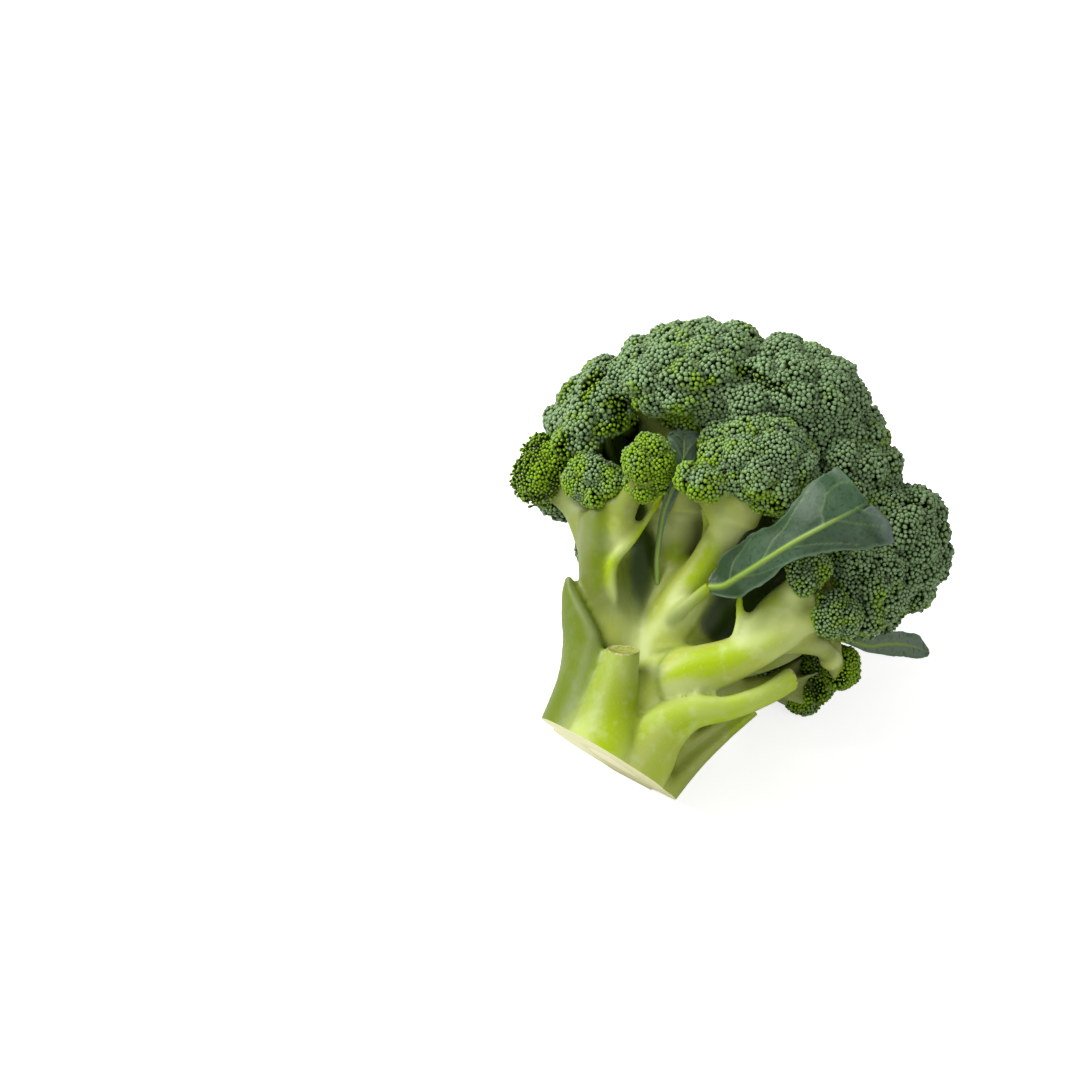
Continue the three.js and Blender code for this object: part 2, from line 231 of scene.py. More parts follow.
def speckleGroup():
    # uneven patches for the stalk and the leaves: the raw pattern, and a mask cut from it
    group = bpy.data.node_groups.new("speckle", "ShaderNodeTree")
    group.interface.new_socket("Place", in_out="INPUT", socket_type="NodeSocketVector")
    for name in ("Scale", "Detail", "From", "To", "Least", "Most"):
        group.interface.new_socket(name, in_out="INPUT", socket_type="NodeSocketFloat")
    for name in ("Height", "Mask"):
        group.interface.new_socket(name, in_out="OUTPUT", socket_type="NodeSocketFloat")
    given, result = added(group, "NodeGroupInput").outputs, added(group, "NodeGroupOutput").inputs
    texture = added(group, "ShaderNodeTexNoise")
    span = added(group, "ShaderNodeMapRange", interpolation_type="SMOOTHSTEP")
    for name, socket in (("Place", "Vector"), ("Scale", "Scale"), ("Detail", "Detail")):
        link(group, given[name], texture.inputs[socket])
    for name, socket in (("From", "From Min"), ("To", "From Max"), ("Least", "To Min"), ("Most", "To Max")):
        link(group, given[name], span.inputs[socket])
    link(group, texture.outputs["Fac"], span.inputs["Value"])
    link(group, texture.outputs["Fac"], result["Height"])
    link(group, span.outputs["Result"], result["Mask"])
    return group


speckle = speckleGroup()


def speckled(tree, where, pattern):
    # a pattern is its scale, its detail, where the mask starts and ends, and its least and most
    node = added(tree, "ShaderNodeGroup", node_tree=speckle)
    link(tree, where, node.inputs["Place"])
    for key, number in zip(("Scale", "Detail", "From", "To", "Least", "Most"), pattern):
        node.inputs[key].default_value = number
    return node.outputs["Height"], node.outputs["Mask"]


def newMaterial(name, finish):
    material = bpy.data.materials.new(name)
    material.use_nodes = True
    tree = material.node_tree
    shader = tree.nodes["Principled BSDF"]
    for key, value in finish.items():
        shader.inputs[key].default_value = value
    return material, tree, shader


def raised(tree, shader, height, distance, strength):
    bump = added(tree, "ShaderNodeBump")
    bump.inputs["Distance"].default_value = distance
    bump.inputs["Strength"].default_value = strength
    link(tree, height, bump.inputs["Height"])
    link(tree, bump.outputs["Normal"], shader.inputs["Normal"])


def linear(red, green, blue):
    def one(value):
        value /= 255
        return value / 12.92 if value <= 0.04045 else ((value + 0.055) / 1.055) ** 2.4
    return (one(red), one(green), one(blue))


budLook = {
    # painted shade: the colour towards each bud's base and over the floret cores, where the buds shade each
    # other
    "deep": linear(18, 30, 3),
    # painted shade in the creases between knobs of buds and between florets
    "gap": linear(24, 37, 2),
    "side": linear(38, 60, 2),
    # the buds' tips: pale wax bloom, partly a painted highlight
    "top": linear(120, 146, 103),
    "youngSide": linear(62, 88, 0),
    "youngTop": linear(122, 156, 8),
    "under": linear(64, 80, 18),
    "finish": {"Roughness": 0.45, "Specular IOR Level": 0.27, "Subsurface Weight": 0.12,
               "Subsurface Radius": (0.5, 1.0, 0.2), "Subsurface Scale": 0.0008},
}


def budMaterial():
    look = budLook
    material, tree, shader = newMaterial("florets", look["finish"])
    tip = painted(tree, "tip")
    tone = painted(tree, "tone")
    young = painted(tree, "young")
    side = mixedColour(tree, young, look["side"], look["youngSide"])
    top = mixedColour(tree, young, look["top"], look["youngTop"])
    # paler towards each bud's tip: wax bloom, partly a painted highlight
    bud = mixedColour(tree, spread(tree, tip, 0.6, 1.0), side, top)
    # painted shade darkens each bud towards its base
    bud = mixedColour(tree, spread(tree, tip, 0.6, 0.2), bud, look["deep"])
    # tone mixes the tip colour in: a random tone, plus painted light towards the top of the head
    share = worked(tree, "MULTIPLY", tone, spread(tree, tip, 0.42, 0.8, (0, 0.35)))
    lighter = mixedColour(tree, share, bud, top)
    # painted shade in the creases between knobs of buds
    shaded = mixedColour(tree, spread(tree, painted(tree, "creviceShade"), 0.3, 1.0, (0, 0.8)), lighter, look["gap"])
    whole = mixedColour(tree, painted(tree, "under"), shaded, look["under"])
    link(tree, whole, shader.inputs["Base Color"])
    return material


stalkLook = {
    "skin": linear(156, 166, 70),
    "bright": linear(146, 168, 0),
    "bloom": linear(176, 187, 122),
    # painted shade in hollows and along the lines where limbs meet
    "creaseShade": linear(98, 118, 14),
    # painted shade up under the crown and on shaded limbs
    "paintedShade": linear(38, 56, 2),
    "cutPith": linear(228, 225, 186),
    "cutFlesh": linear(216, 214, 164),
    "cutRing": linear(202, 200, 144),
    "dryEnd": linear(168, 158, 110),
    "dryGreen": linear(112, 128, 40),
    "fibres": (1.0, 4, 0.3, 0.7, -0.45, 0.45),
    "fibreShape": (0.9, 0.09),                # how many to a millimetre, round and along a limb
    "flecks": (900, 3, 0.55, 0.75, 0, 0.25),
    "frost": (230, 5, 0.5, 0.7, 0, 0.38),
    "pithRings": (0.0085, 0.0105, 0.013),     # where the pith ends, and its ring of fibres, in metres
    "pithBend": (90, 2, 0.3, 0.7, -0.0012, 0.0012),
    "finish": {"Roughness": 0.42, "Specular IOR Level": 0.22, "Subsurface Weight": 0.2,
               "Subsurface Radius": (0.9, 1.0, 0.35), "Subsurface Scale": 0.0025},
}


def stalkMaterial():
    look = stalkLook
    material, tree, shader = newMaterial("stalkSkin", look["finish"])
    where = added(tree, "ShaderNodeTexCoord").outputs["Object"]
    grain = added(tree, "ShaderNodeCombineXYZ")
    for key, axis, many in zip(("around", "along"), "XY", look["fibreShape"]):
        link(tree, worked(tree, "MULTIPLY", painted(tree, key), many), grain.inputs[axis])
    fibres, streaks = speckled(tree, grain.outputs["Vector"], look["fibres"])
    speck, flecks = speckled(tree, where, look["flecks"])
    frost = speckled(tree, where, look["frost"])[1]
    streaked = worked(tree, "ADD", painted(tree, "bright"), streaks)
    colour = mixedColour(tree, spread(tree, streaked, 0.0, 1.0), look["skin"], look["bright"])
    for mask in (painted(tree, "bloom"), flecks, frost):
        colour = mixedColour(tree, mask, colour, look["bloom"])
    # painted shade: darker up under the crown and on some limbs
    colour = mixedColour(tree, painted(tree, "deep"), colour, look["paintedShade"])
    # painted shade in hollows and along the lines where limbs meet
    colour = mixedColour(tree, painted(tree, "creaseShade"), colour, look["creaseShade"])
    dry = mixedColour(tree, spread(tree, speck, 0.4, 0.6), look["dryEnd"], look["dryGreen"])
    colour = mixedColour(tree, painted(tree, "dry"), colour, dry)
    # the cut face: pale pith, a ring of fibres, and firmer flesh outside it
    apart = added(tree, "ShaderNodeVectorMath", operation="DISTANCE")
    link(tree, where, apart.inputs[0])
    apart.inputs[1].default_value = place(0, 0, 0)
    far = worked(tree, "ADD", apart.outputs["Value"], speckled(tree, where, look["pithBend"])[1])
    pithEnd, ringStart, fleshStart = look["pithRings"]
    flesh = mixedColour(tree, spread(tree, far, pithEnd, ringStart), look["cutPith"], look["cutRing"])
    flesh = mixedColour(tree, spread(tree, far, ringStart, fleshStart), flesh, look["cutFlesh"])
    colour = mixedColour(tree, painted(tree, "cut"), colour, flesh)
    link(tree, colour, shader.inputs["Base Color"])
    raised(tree, shader, worked(tree, "ADD", fibres, worked(tree, "MULTIPLY", speck, 0.3)), 0.0003, 0.4)
    return material


leafLook = {
    "blade": linear(36, 60, 34),
    "bloom": linear(54, 80, 54),
    # a greyer leaf colour, partly painted light that lifts the low leaf, which lies in shade
    "pale": linear(104, 122, 104),
    "grain": linear(28, 46, 20),
    "vein": linear(96, 120, 66),
    "rib": linear(120, 146, 52),
    "edge": linear(84, 108, 82),
    "fold": linear(84, 98, 90),
    "patches": (60, 4, 0.35, 0.7, 0, 1),
    "specks": (700, 4, 0.52, 0.66, 0, 0.6),
    "finish": {"Roughness": 0.5, "Specular IOR Level": 0.3, "Subsurface Weight": 0.1,
               "Subsurface Scale": 0.001},
}


def leafMaterial():
    look = leafLook
    material, tree, shader = newMaterial("leafBlade", look["finish"])
    where = added(tree, "ShaderNodeTexCoord").outputs["Object"]
    patches = speckled(tree, where, look["patches"])[1]
    height, specks = speckled(tree, where, look["specks"])
    blade = mixedColour(tree, patches, look["blade"], look["bloom"])
    # paler per leaf: a greyer leaf, partly painted light that lifts the low leaf, which lies in shade
    blade = mixedColour(tree, painted(tree, "pale"), blade, look["pale"])
    blade = mixedColour(tree, specks, blade, look["grain"])
    for key in ("edge", "fold", "vein", "rib"):
        blade = mixedColour(tree, painted(tree, key), blade, look[key])
    link(tree, blade, shader.inputs["Base Color"])
    raised(tree, shader, height, 0.0004, 0.4)
    return material


# rows of turn, out, up, half width round the stalk, half thickness, in millimetres
stalk = {
    "voxel": 1.25,
    "fineVoxel": 1.0,
    "kept": 0.52,
    "fillet": 1.3,
    "seam": 0.4,
    # a cut end: how far below the tip, the rim's width and height, and the depth of the hollow inside it
    "end": {"short": 1.2, "rim": 0.75, "band": 0.6, "hollow": 0.45, "thinnest": 2, "below": 2, "above": 6,
            "aside": (0.8, 1.1)},
    "sides": 20,
    "step": 2.0,
    "trunk": [
        (0, 0, -16, 20.5, 20.5), (0, 0, 6, 19.5, 19.5), (0, 0, 26, 19.5, 19.5), (0, 0, 44, 20, 20),
        (0, 0, 58, 16, 16), (0, 0, 76, 11, 11), (0, 0, 104, 8, 8)],
    "leafStalks": [
        [(190, 14, -18, 15, 10), (189, 18, -2, 13.5, 9.5), (182.5, 23.5, 12, 8.3, 7),
         (177.8, 31.6, 29.2, 4.9, 4.3)],
        [(140, 15, -18, 15, 10), (141, 19, 2, 13.5, 9.5), (144, 25, 16, 11, 6.5), (142.5, 31, 26, 11, 4.4),
         (140.5, 38, 33, 7.5, 3.4), (140, 43.5, 38.5, 3.6, 2.4), (140.5, 47, 42.5, 0.9, 0.9)],
        [(232, 13, -18, 14, 10), (232, 17, 0, 12.5, 9), (232, 21, 11, 9.5, 8), (239, 28, 20, 5.6, 5.2),
         (251, 35, 27.4, 4.1, 3.8), (259, 41, 37.4, 3.8, 3.5), (265, 45, 49, 4.6, 3.3)],
        [(284, 14, -18, 12, 8), (284, 18, 0, 10, 7), (283, 22, 14, 7, 5.6), (280, 28, 27, 4.6, 3.8),
         (276, 34, 38, 3.4, 3)],
        [(12, 15, -18, 13, 8.5), (11, 18.5, 5, 11.5, 7.2), (10, 22, 20, 8, 5.6), (8, 30, 36, 3.4, 2.4)],
        [(68, 15, -18, 14, 9), (66, 19, 4, 12, 8), (62, 24, 20, 8, 6), (60, 30, 34, 3.6, 2.6)]],
    "branches": [
        [(144, 8, 18, 11, 10), (144, 20, 32, 9.5, 9), (144, 34.5, 45.5, 8.4, 8), (146.5, 45.5, 57, 7.8, 7),
         (148, 52, 65.5, 7.4, 6)],
        [(170, 6, 32, 12, 12), (170, 14, 50, 9.5, 9.5), (163, 20, 64, 7.6, 7.6), (157, 27, 82, 7.2, 7.2),
         (156, 37, 98, 7.2, 7.2)],
        [(186, 12, 34, 9, 9), (190, 21, 51, 7, 7), (196, 29.5, 66.5, 5.6, 5.2), (200, 41, 80, 6, 5.4)],
        [(222, 10, 20, 12, 10), (228, 21, 31.5, 9.6, 8.8), (240, 31, 41.5, 7.4, 7.4), (245, 41, 52, 6.2, 6),
         (247, 49, 64, 5.6, 5.2)],
        [(243, 27.5, 39.5, 5.4, 5.4), (240, 34.8, 47.5, 4.6, 4.6), (236.5, 39.2, 55.2, 4.3, 4.3),
         (235, 45, 63, 4.2, 4.2), (238, 51.5, 73, 4, 4)],
        [(240, 30, 42, 6, 5), (247.5, 41, 52.5, 4.4, 4), (267, 46, 63, 3.6, 3.2), (287, 47, 68, 3.4, 3)],
        [(207, 11, -10, 10, 9), (207, 13.5, 10, 10, 9.5), (207, 14, 26, 9.5, 9.5), (205, 11, 42, 8, 8)]],
    # how far a cut end leans towards the limb's outer side
    "slants": {"leafStalk0": 0.36},
    # a groove along a leaf stalk: its angle from the outer side, half width, depth and start
    "grooves": {"leafStalk3": (75, 40, 0.62, 14)},
    # limb, angle from its outer side, half width of the streak in degrees, and where it starts and ends
    "streaks": [("branch0", -60, 24, 34, 90), ("branch2", -22, 40, 22, 46), ("branch3", 46, 30, 12, 44),
                ("branch4", 10, 50, 4, 40), ("branch1", -40, 26, 30, 60), ("leafStalk1", -40, 60, 14, 60),
                ("leafStalk2", 40, 80, 36, 90)],
    # how much greener some limbs are, how much painted shade darkens them, and where along them that starts
    "tintAndShade": {"branch0": (0.1, 0.66, 20), "leafStalk0": (0.35, 0.3, 12), "leafStalk1": (0.45, 0.7, 4),
              "leafStalk2": (0.2, 0, 0), "leafStalk3": (-0.2, 0.3, 10), "branch4": (0.2, 0.35, 8),
              "branch5": (0.1, 0.3, 8), "twig0": (0, 0.35, 0)},
    "twigs": [
        [(189, 16, 40, 4, 3), (193.5, 25.5, 45.5, 2.9, 2.6), (200.5, 31, 50.5, 2.2, 2.2),
         (206.3, 37, 57, 1.8, 1.7)],
        [(237, 28.5, 41.5, 4.6, 3), (235, 34.4, 47.5, 3, 2), (229.5, 35.6, 53, 1.8, 1.3),
         (223.5, 36.2, 58, 1.3, 1.1), (221, 36.2, 61, 0.9, 0.9)],
        [(156, 26, 36, 2.6, 2), (156, 41.4, 50, 2.4, 2.2), (161, 42.4, 60.7, 1.7, 1.6),
         (162.7, 42.4, 73.5, 1.3, 1.2), (163.5, 43, 82, 1, 1)],
        [(193, 26, 68, 2.4, 2), (187, 33, 77, 1.4, 1.2), (183, 38, 81, 1.2, 1)]],
}

# each floret: its middle, its radius, and where its own branch starts and bends
florets = {
    "top": {"at": (200, 6, 131), "r": 34, "from": (0, 0, 84)},
    "front_upper": {"at": (158, 53, 119), "r": 31, "from": (157, 27, 82), "low": -0.75,
                    "lobes": [(168, 49.2, 110.9, 10.7), (174.1, 48.3, 106.7, 7.6), (161, 69, 109, 8.6)]},
    "front_top": {"at": (197, 41, 126), "r": 27.5, "from": (206, 4, 66), "via": (204, 20, 98),
                  "lobes": [(189, 55, 111.5, 9.9)]},
    "left_shoulder": {"at": (134, 65, 97), "r": 25, "from": (144, 10, 40), "via": (140, 36, 70),
                      "lobes": [(141.7, 68.2, 83.3, 9)]},
    "right_shoulder": {"at": (233, 35, 112), "r": 28, "from": (226, 4, 40), "via": (232, 20, 76),
                       "lobes": [(227.5, 40.8, 92.7, 9.9)]},
    "right_far": {"at": (263, 58, 105), "r": 22.5, "from": (252, 6, 50), "via": (262, 34, 78)},
    "back_right": {"at": (306, 40, 106), "r": 25, "from": (298, 4, 50), "via": (300, 24, 78)},
    "back": {"at": (345, 40, 116), "r": 33, "from": (345, 4, 54), "via": (345, 22, 86)},
    "back_left": {"at": (30, 42, 116), "r": 33, "from": (30, 4, 54), "via": (30, 24, 84)},
    "left_back": {"at": (85, 48, 112), "r": 32, "from": (85, 4, 50), "via": (85, 26, 82)},
    "far_left": {"at": (108, 58, 88), "r": 20, "from": (118, 6, 40), "via": (114, 30, 66)},
    "left_ragged": {"at": (128, 68, 76.5), "r": 14, "low": -0.7, "from": (144, 34, 46), "via": (136, 50, 62),
                    "lobes": [(127.2, 68.9, 71.2, 9.8)]},
    "small_left": {"at": (150, 56, 71), "r": 11, "from": (149, 46, 60), "lobes": [(145.2, 60.8, 72.2, 8.3)]},
    "small_centre": {"at": (168, 60, 80), "r": 11, "low": -0.75, "from": (152, 42, 58), "via": (160, 51, 67),
                     "lobes": [(167, 55, 76, 7.2)]},
    "front": {"at": (202, 53, 94), "r": 20.5, "from": (200, 41, 80), "skin": "front",
              "lobes": [(189, 52.7, 89.6, 8.5), (182.6, 51.5, 97.8, 7.2)]},
    "front_lobe": {"at": (188, 60, 78), "r": 10, "from": (199, 40, 76), "via": (192, 50, 77), "skin": "front",
                   "lobes": [(185.6, 57.2, 80.2, 6.5)]},
    "right": {"at": (255, 57, 82), "r": 18, "from": (244, 44, 60), "via": (250, 50, 70), "skin": "front",
              "lobes": [(250.6, 48.9, 89.5, 9.9)]},
    "small_right": {"at": (247.5, 59, 67), "r": 11.5, "from": (246, 46, 59)},
    "small_upper_right": {"at": (234, 55, 72), "r": 10.5, "from": (236, 47, 66)},
    "small_low": {"at": (305, 51, 73), "r": 10, "from": (285, 47, 67), "low": -0.8},
    "low_right": {"at": (333, 55.5, 72), "r": 12.5, "from": (320, 8, 34), "via": (325, 34, 54), "low": -0.8},
    "low": {"at": (3, 45, 85), "r": 23, "from": (3, 6, 34), "via": (3, 24, 58)},
    "low_left": {"at": (37, 52.5, 79), "r": 24, "from": (42, 6, 34), "via": (42, 28, 58)},
    "low_back": {"at": (78, 46, 84), "r": 19, "from": (78, 6, 36), "via": (78, 28, 60)},
    "low_far": {"at": (290, 42, 88), "r": 16, "from": (292, 6, 40), "via": (294, 30, 64)},
}
floretBranch = {"root": 0.42, "end": 0.3, "short": 0.15, "forks": 7, "forkFrom": 0.45, "forkThick": 0.09}


def onRoute(points, t):
    # a smooth curve through the points, with knots spaced by the root of the distance
    last = len(points) - 1
    step = min(int(t * last), last - 1)
    w = t * last - step
    b, c = points[step], points[step + 1]
    a = points[step - 1] if step > 0 else 2 * b - c
    d = points[step + 2] if step < last - 1 else 2 * c - b
    ab, bc, cd = (max(np.linalg.norm(q - p), 1e-9) ** 0.5 for p, q in ((a, b), (b, c), (c, d)))
    leave = ((b - a) / ab - (c - a) / (ab + bc) + (c - b) / bc) * bc
    arrive = ((c - b) / bc - (d - b) / (bc + cd) + (d - c) / cd) * bc
    return (b + leave * w + (-3 * b + 3 * c - 2 * leave - arrive) * w ** 2
            + (2 * b - 2 * c + leave + arrive) * w ** 3)


def limbRings(rows, swell, step):
    # for each ring along a limb: middle, the two half axes, and how far along it is
    points = [np.array(place(*row[:3])) for row in rows]
    length = sum(np.linalg.norm(q - p) for p, q in zip(points, points[1:]))
    many = max(6, int(length / (step * mm)))
    rings = []
    gone = 0
    for k in range(many + 1):
        t = k / many
        part = min(t * (len(rows) - 1), len(rows) - 1 - 1e-9)
        low = int(part)
        row = [p + (q - p) * (part - low) for p, q in zip(rows[low], rows[low + 1])]
        middle = onRoute(points, t)
        ahead = onRoute(points, min(t + 1e-3, 1)) - onRoute(points, max(t - 1e-3, 0))
        ahead /= np.linalg.norm(ahead)
        stalkLine = np.array(wayOut(0, 0, 1))
        radial = np.array(wayOut(row[0], 1, 0))
        sideways = np.cross(stalkLine, radial)
        sideways -= ahead * (sideways @ ahead)
        sideways /= np.linalg.norm(sideways)
        outward = np.cross(ahead, sideways)
        if outward @ radial < 0:
            outward, sideways = -outward, -sideways
        gone += np.linalg.norm(middle - rings[-1]["middle"]) if rings else 0
        rings.append({"middle": middle, "round": sideways, "out": outward, "along": gone / mm,
                      "wide": (row[3] + swell) * mm, "thick": (row[4] + swell) * mm})
    return rings


poles = {}


def pole(sides, rings):
    # a straight pole with a ring at each step, to be bent into a limb
    if (sides, rings) not in poles:
        freshStart()
        bpy.ops.mesh.primitive_cylinder_add(vertices=sides, radius=1, depth=1, location=(0, 0, 0.5))
        made = bpy.context.object
        bpy.ops.object.transform_apply(location=True)
        bpy.ops.object.mode_set(mode="EDIT")
        bpy.ops.mesh.select_mode(type="FACE")
        bpy.ops.object.mode_set(mode="OBJECT")
        for face in made.data.polygons:
            face.select = face.normal.z > 0.5
        bpy.ops.object.mode_set(mode="EDIT")
        for _ in range(rings - 2):
            bpy.ops.mesh.extrude_region_move(TRANSFORM_OT_translate={"value": (0, 0, 1)})
        bpy.ops.object.mode_set(mode="OBJECT")
        poles[sides, rings] = made.data.copy()
        bpy.data.objects.remove(made)
    return poles[sides, rings].copy()


def limb(name, rows, swell=0.0, sides=None, step=None, groove=None):
    rings = limbRings(rows, swell, step or stalk["step"])
    mesh = pole(sides or stalk["sides"], len(rings))
    moved = []
    for x, y, z in pointsOf(mesh):
        ring = rings[int(round(z))]
        if groove and ring["along"] > groove[3]:
            angle, halfWidth, deep, start = groove
            off = (math.degrees(math.atan2(-y, x)) - angle + 180) % 360 - 180
            inward = 1 - deep * math.exp(-(off / halfWidth) ** 2) * min((ring["along"] - start) / 10, 1)
            x, y = x * inward, y * inward
        moved.append(ring["middle"] + x * ring["thick"] * ring["out"] - y * ring["wide"] * ring["round"])
    movePoints(mesh, moved)
    piece = bpy.data.objects.new(name, mesh)
    bpy.context.collection.objects.link(piece)
    return piece, rings


def turnOf(point):
    upright = headAxes.inverted() @ (Vector(point) / mm - Vector(head["cutMiddle"]))
    return math.degrees(math.atan2(upright.y, upright.x)) % 360, math.hypot(upright.x, upright.y), upright.z


def floretBranchRows(data):
    start, middle = Vector(place(*data["from"])), Vector(place(*data["at"]))
    bend = Vector(place(*data["via"])) if "via" in data else start.lerp(middle, 0.5)
    end = middle - (middle - bend).normalized() * floretBranch["short"] * data["r"] * mm
    root, tip = floretBranch["root"] * data["r"], floretBranch["end"] * data["r"]
    rows = []
    for point, half in zip((start, bend, end), (root, (root + tip) / 2, tip)):
        turn, out, up = turnOf(point)
        turn = data["at"][0] if out < 1 else data["at"][0] + (turn - data["at"][0] + 180) % 360 - 180
        rows.append((turn, out, up, half, half))
    return rows


def forkRows(data, k):
    # one of the small stems that fan out from a floret's branch to its buds
    r = data["r"]
    middle = Vector(place(*data["at"]))
    tip = (middle - Vector(place(*head["heart"]))).normalized()
    rows = floretBranchRows(data)
    start = Vector(onRoute([np.array(place(*row[:3])) for row in rows], floretBranch["forkFrom"]))
    side = tip.orthogonal().normalized()
    side.rotate(Matrix.Rotation(2 * math.pi * k / floretBranch["forks"] + 0.4 * math.sin(5 * k + r), 3, tip))
    end = middle + (side * 0.78 - tip * 0.14) * r * mm
    bend = start.lerp(end, 0.5) - side * 0.05 * r * mm
    half = floretBranch["forkThick"] * r
    rows = []
    for point, size in zip((start, bend, end), (half * 1.5, half, half * 0.8)):
        turn, out, up = turnOf(point)
        rows.append((turn, out, up, size, size))
    for k in range(1, 3):
        rows[k] = (rows[0][0] + (rows[k][0] - rows[0][0] + 180) % 360 - 180, *rows[k][1:])
    return rows


def stalkPiece(material):
    fillet, seam = stalk["fillet"], stalk["seam"]
    guides = []

    def limbs(kind, routes, swell, sides=None, step=None):
        made = []
        for rows in routes:
            label = kind + str(len([1 for known, _, _ in guides if known == kind]))
            piece, rings = limb(kind, rows, swell, sides, step, stalk["grooves"].get(label))
            guides.append((kind, label, rings))
            made.append(piece)
        return made

    # the branches run into each other softly
    soft = limbs("trunk", [stalk["trunk"]], fillet) + limbs("branch", stalk["branches"], fillet)
    for data in florets.values():
        inner = data["from"][1] < 15
        soft += limbs("inner" if inner else "floret", [floretBranchRows(data)], fillet)
        soft += limbs("inner" if inner else "fork", [forkRows(data, k) for k in range(floretBranch["forks"])],
                      fillet, 10, 4)
    piece = joined(soft, "stalk_dressed")
    fused(piece, stalk["voxel"], 4)
    swollen(piece, seam - fillet)
    print("branches run together")
    # leaf stalks and leaf stems leave them with tighter seams
    piece = joined([piece, *limbs("leafStalk", stalk["leafStalks"], seam, 44, 1.0),
                    *limbs("twig", stalk["twigs"], seam, 20, 1.0)], "stalk_dressed")
    fused(piece, stalk["fineVoxel"], 3)
    swollen(piece, -seam)
    finishWith(piece, "DECIMATE", ratio=stalk["kept"])
    smoothed(piece, 1)
    paint(piece.data, "hollow", blurred(piece.data, bentIn(piece.data), 2))
    for label, rings in cutStalks(guides):
        cutEnd(piece, label, rings)
    knife = wayOut(head["knifeTowards"], math.tan(math.radians(head["knifeSlope"])), 1)
    pick(piece)
    bpy.ops.object.mode_set(mode="EDIT")
    for middle, normal in ((place(0, 0, 0), knife), (Vector((0, 0, 0)), Vector((0, 0, 1)))):
        bpy.ops.mesh.select_all(action="SELECT")
        bpy.ops.mesh.bisect(plane_co=middle, plane_no=normal, use_fill=True, clear_inner=True)
    bpy.ops.object.mode_set(mode="OBJECT")
    colourStalk(piece.data, guides, knife)
    pick(piece)
    bpy.ops.object.shade_smooth_by_angle(angle=math.radians(40))
    piece.data.materials.clear()
    piece.data.materials.append(material)
    return piece


def cutStalks(guides):
    # the leaf stalks that end in a cut and not in a point
    return [(label, rings) for kind, label, rings in guides
            if kind == "leafStalk" and rings[-1]["wide"] > stalk["end"]["thinnest"] * mm]


def endOf(label, rings):
    # where a leaf stalk was cut through, and the way its end faces
    ahead = rings[-1]["middle"] - rings[-4]["middle"]
    ahead /= np.linalg.norm(ahead)
    slant = stalk["slants"].get(label, 0)
    short = stalk["end"]["short"] * mm + slant * rings[-1]["thick"]
    faced = ahead + slant * rings[-1]["out"]
    return rings[-1]["middle"] - ahead * short, faced / np.linalg.norm(faced)


def cutEnd(piece, label, rings):
    # a flat end with a dry rim round a shallow hollow
    end, tip = stalk["end"], rings[-1]
    middle, ahead = endOf(label, rings)
    for short, last in ((0, True), (end["band"], False)):
        away = facesOf(piece.data)[0] - middle
        beyond = away @ ahead
        aside = np.hypot(away @ tip["round"] / (tip["wide"] + end["aside"][0] * mm),
                         away @ tip["out"] / (tip["thick"] + end["aside"][1] * mm))
        near = (beyond > -end["below"] * mm) & (beyond < end["above"] * mm) & (aside < 1)
        pick(piece)
        bpy.ops.object.mode_set(mode="EDIT")
        bpy.ops.mesh.select_mode(type="FACE")
        bpy.ops.mesh.select_all(action="DESELECT")
        bpy.ops.object.mode_set(mode="OBJECT")
        piece.data.polygons.foreach_set("select", near)
        bpy.ops.object.mode_set(mode="EDIT")
        bpy.ops.mesh.bisect(plane_co=middle - ahead * short * mm, plane_no=ahead, use_fill=last,
                            clear_outer=last)
        if last:
            bpy.ops.mesh.inset(thickness=end["rim"] * mm, depth=-end["hollow"] * mm)
        bpy.ops.object.mode_set(mode="OBJECT")


def bentIn(mesh):
    # positive where the surface is hollow, in millimetres
    points, normals = pointsOf(mesh), normalsOf(mesh)
    around = np.stack([blurred(mesh, points[:, k], 3) for k in range(3)], 1)
    return np.einsum("ij,ij->i", around - points, normals) / mm


# where the stalk's colours and its painted shade lie, in millimetres, degrees and shares
stalkWearAndShade = {
    "patch": (5, 34, 14),            # worn patches: how long round a limb and along it, and how ragged
    "worn": {"leafStalk": 0.4, "other": 0.65, "stump": 0.2, "tip": 0.8, "tipFrom": (40, 52), "trunk": -0.1},
    "bloom": {"patch": 9, "leafStalk": 0.3, "other": 0.75, "edge": 0.6, "edgeFrom": (30, 45)},
    # painted shade: its strength in hollows and along seams, the gap at which a seam line shows, and the size
    # of its breaks
    "creaseShade": {"hollow": 0.45, "line": 0.85, "gap": (1.0, 0.2), "patch": 12},
    # painted shade up under the crown: where it grows on inner floret branches, the trunk, other limbs,
    # floret branches and forks
    "deep": {"inner": (38, 50), "trunk": (48, 62), "other": (0.45, 52, 80), "floret": (0.5, 4, 16),
             "fork": 0.2, "toneOver": 16},
    "shaded": {"least": 0.4, "from": (95, 140), "to": (290, 260)},
    "twig": (1.3, 2, 9),
}


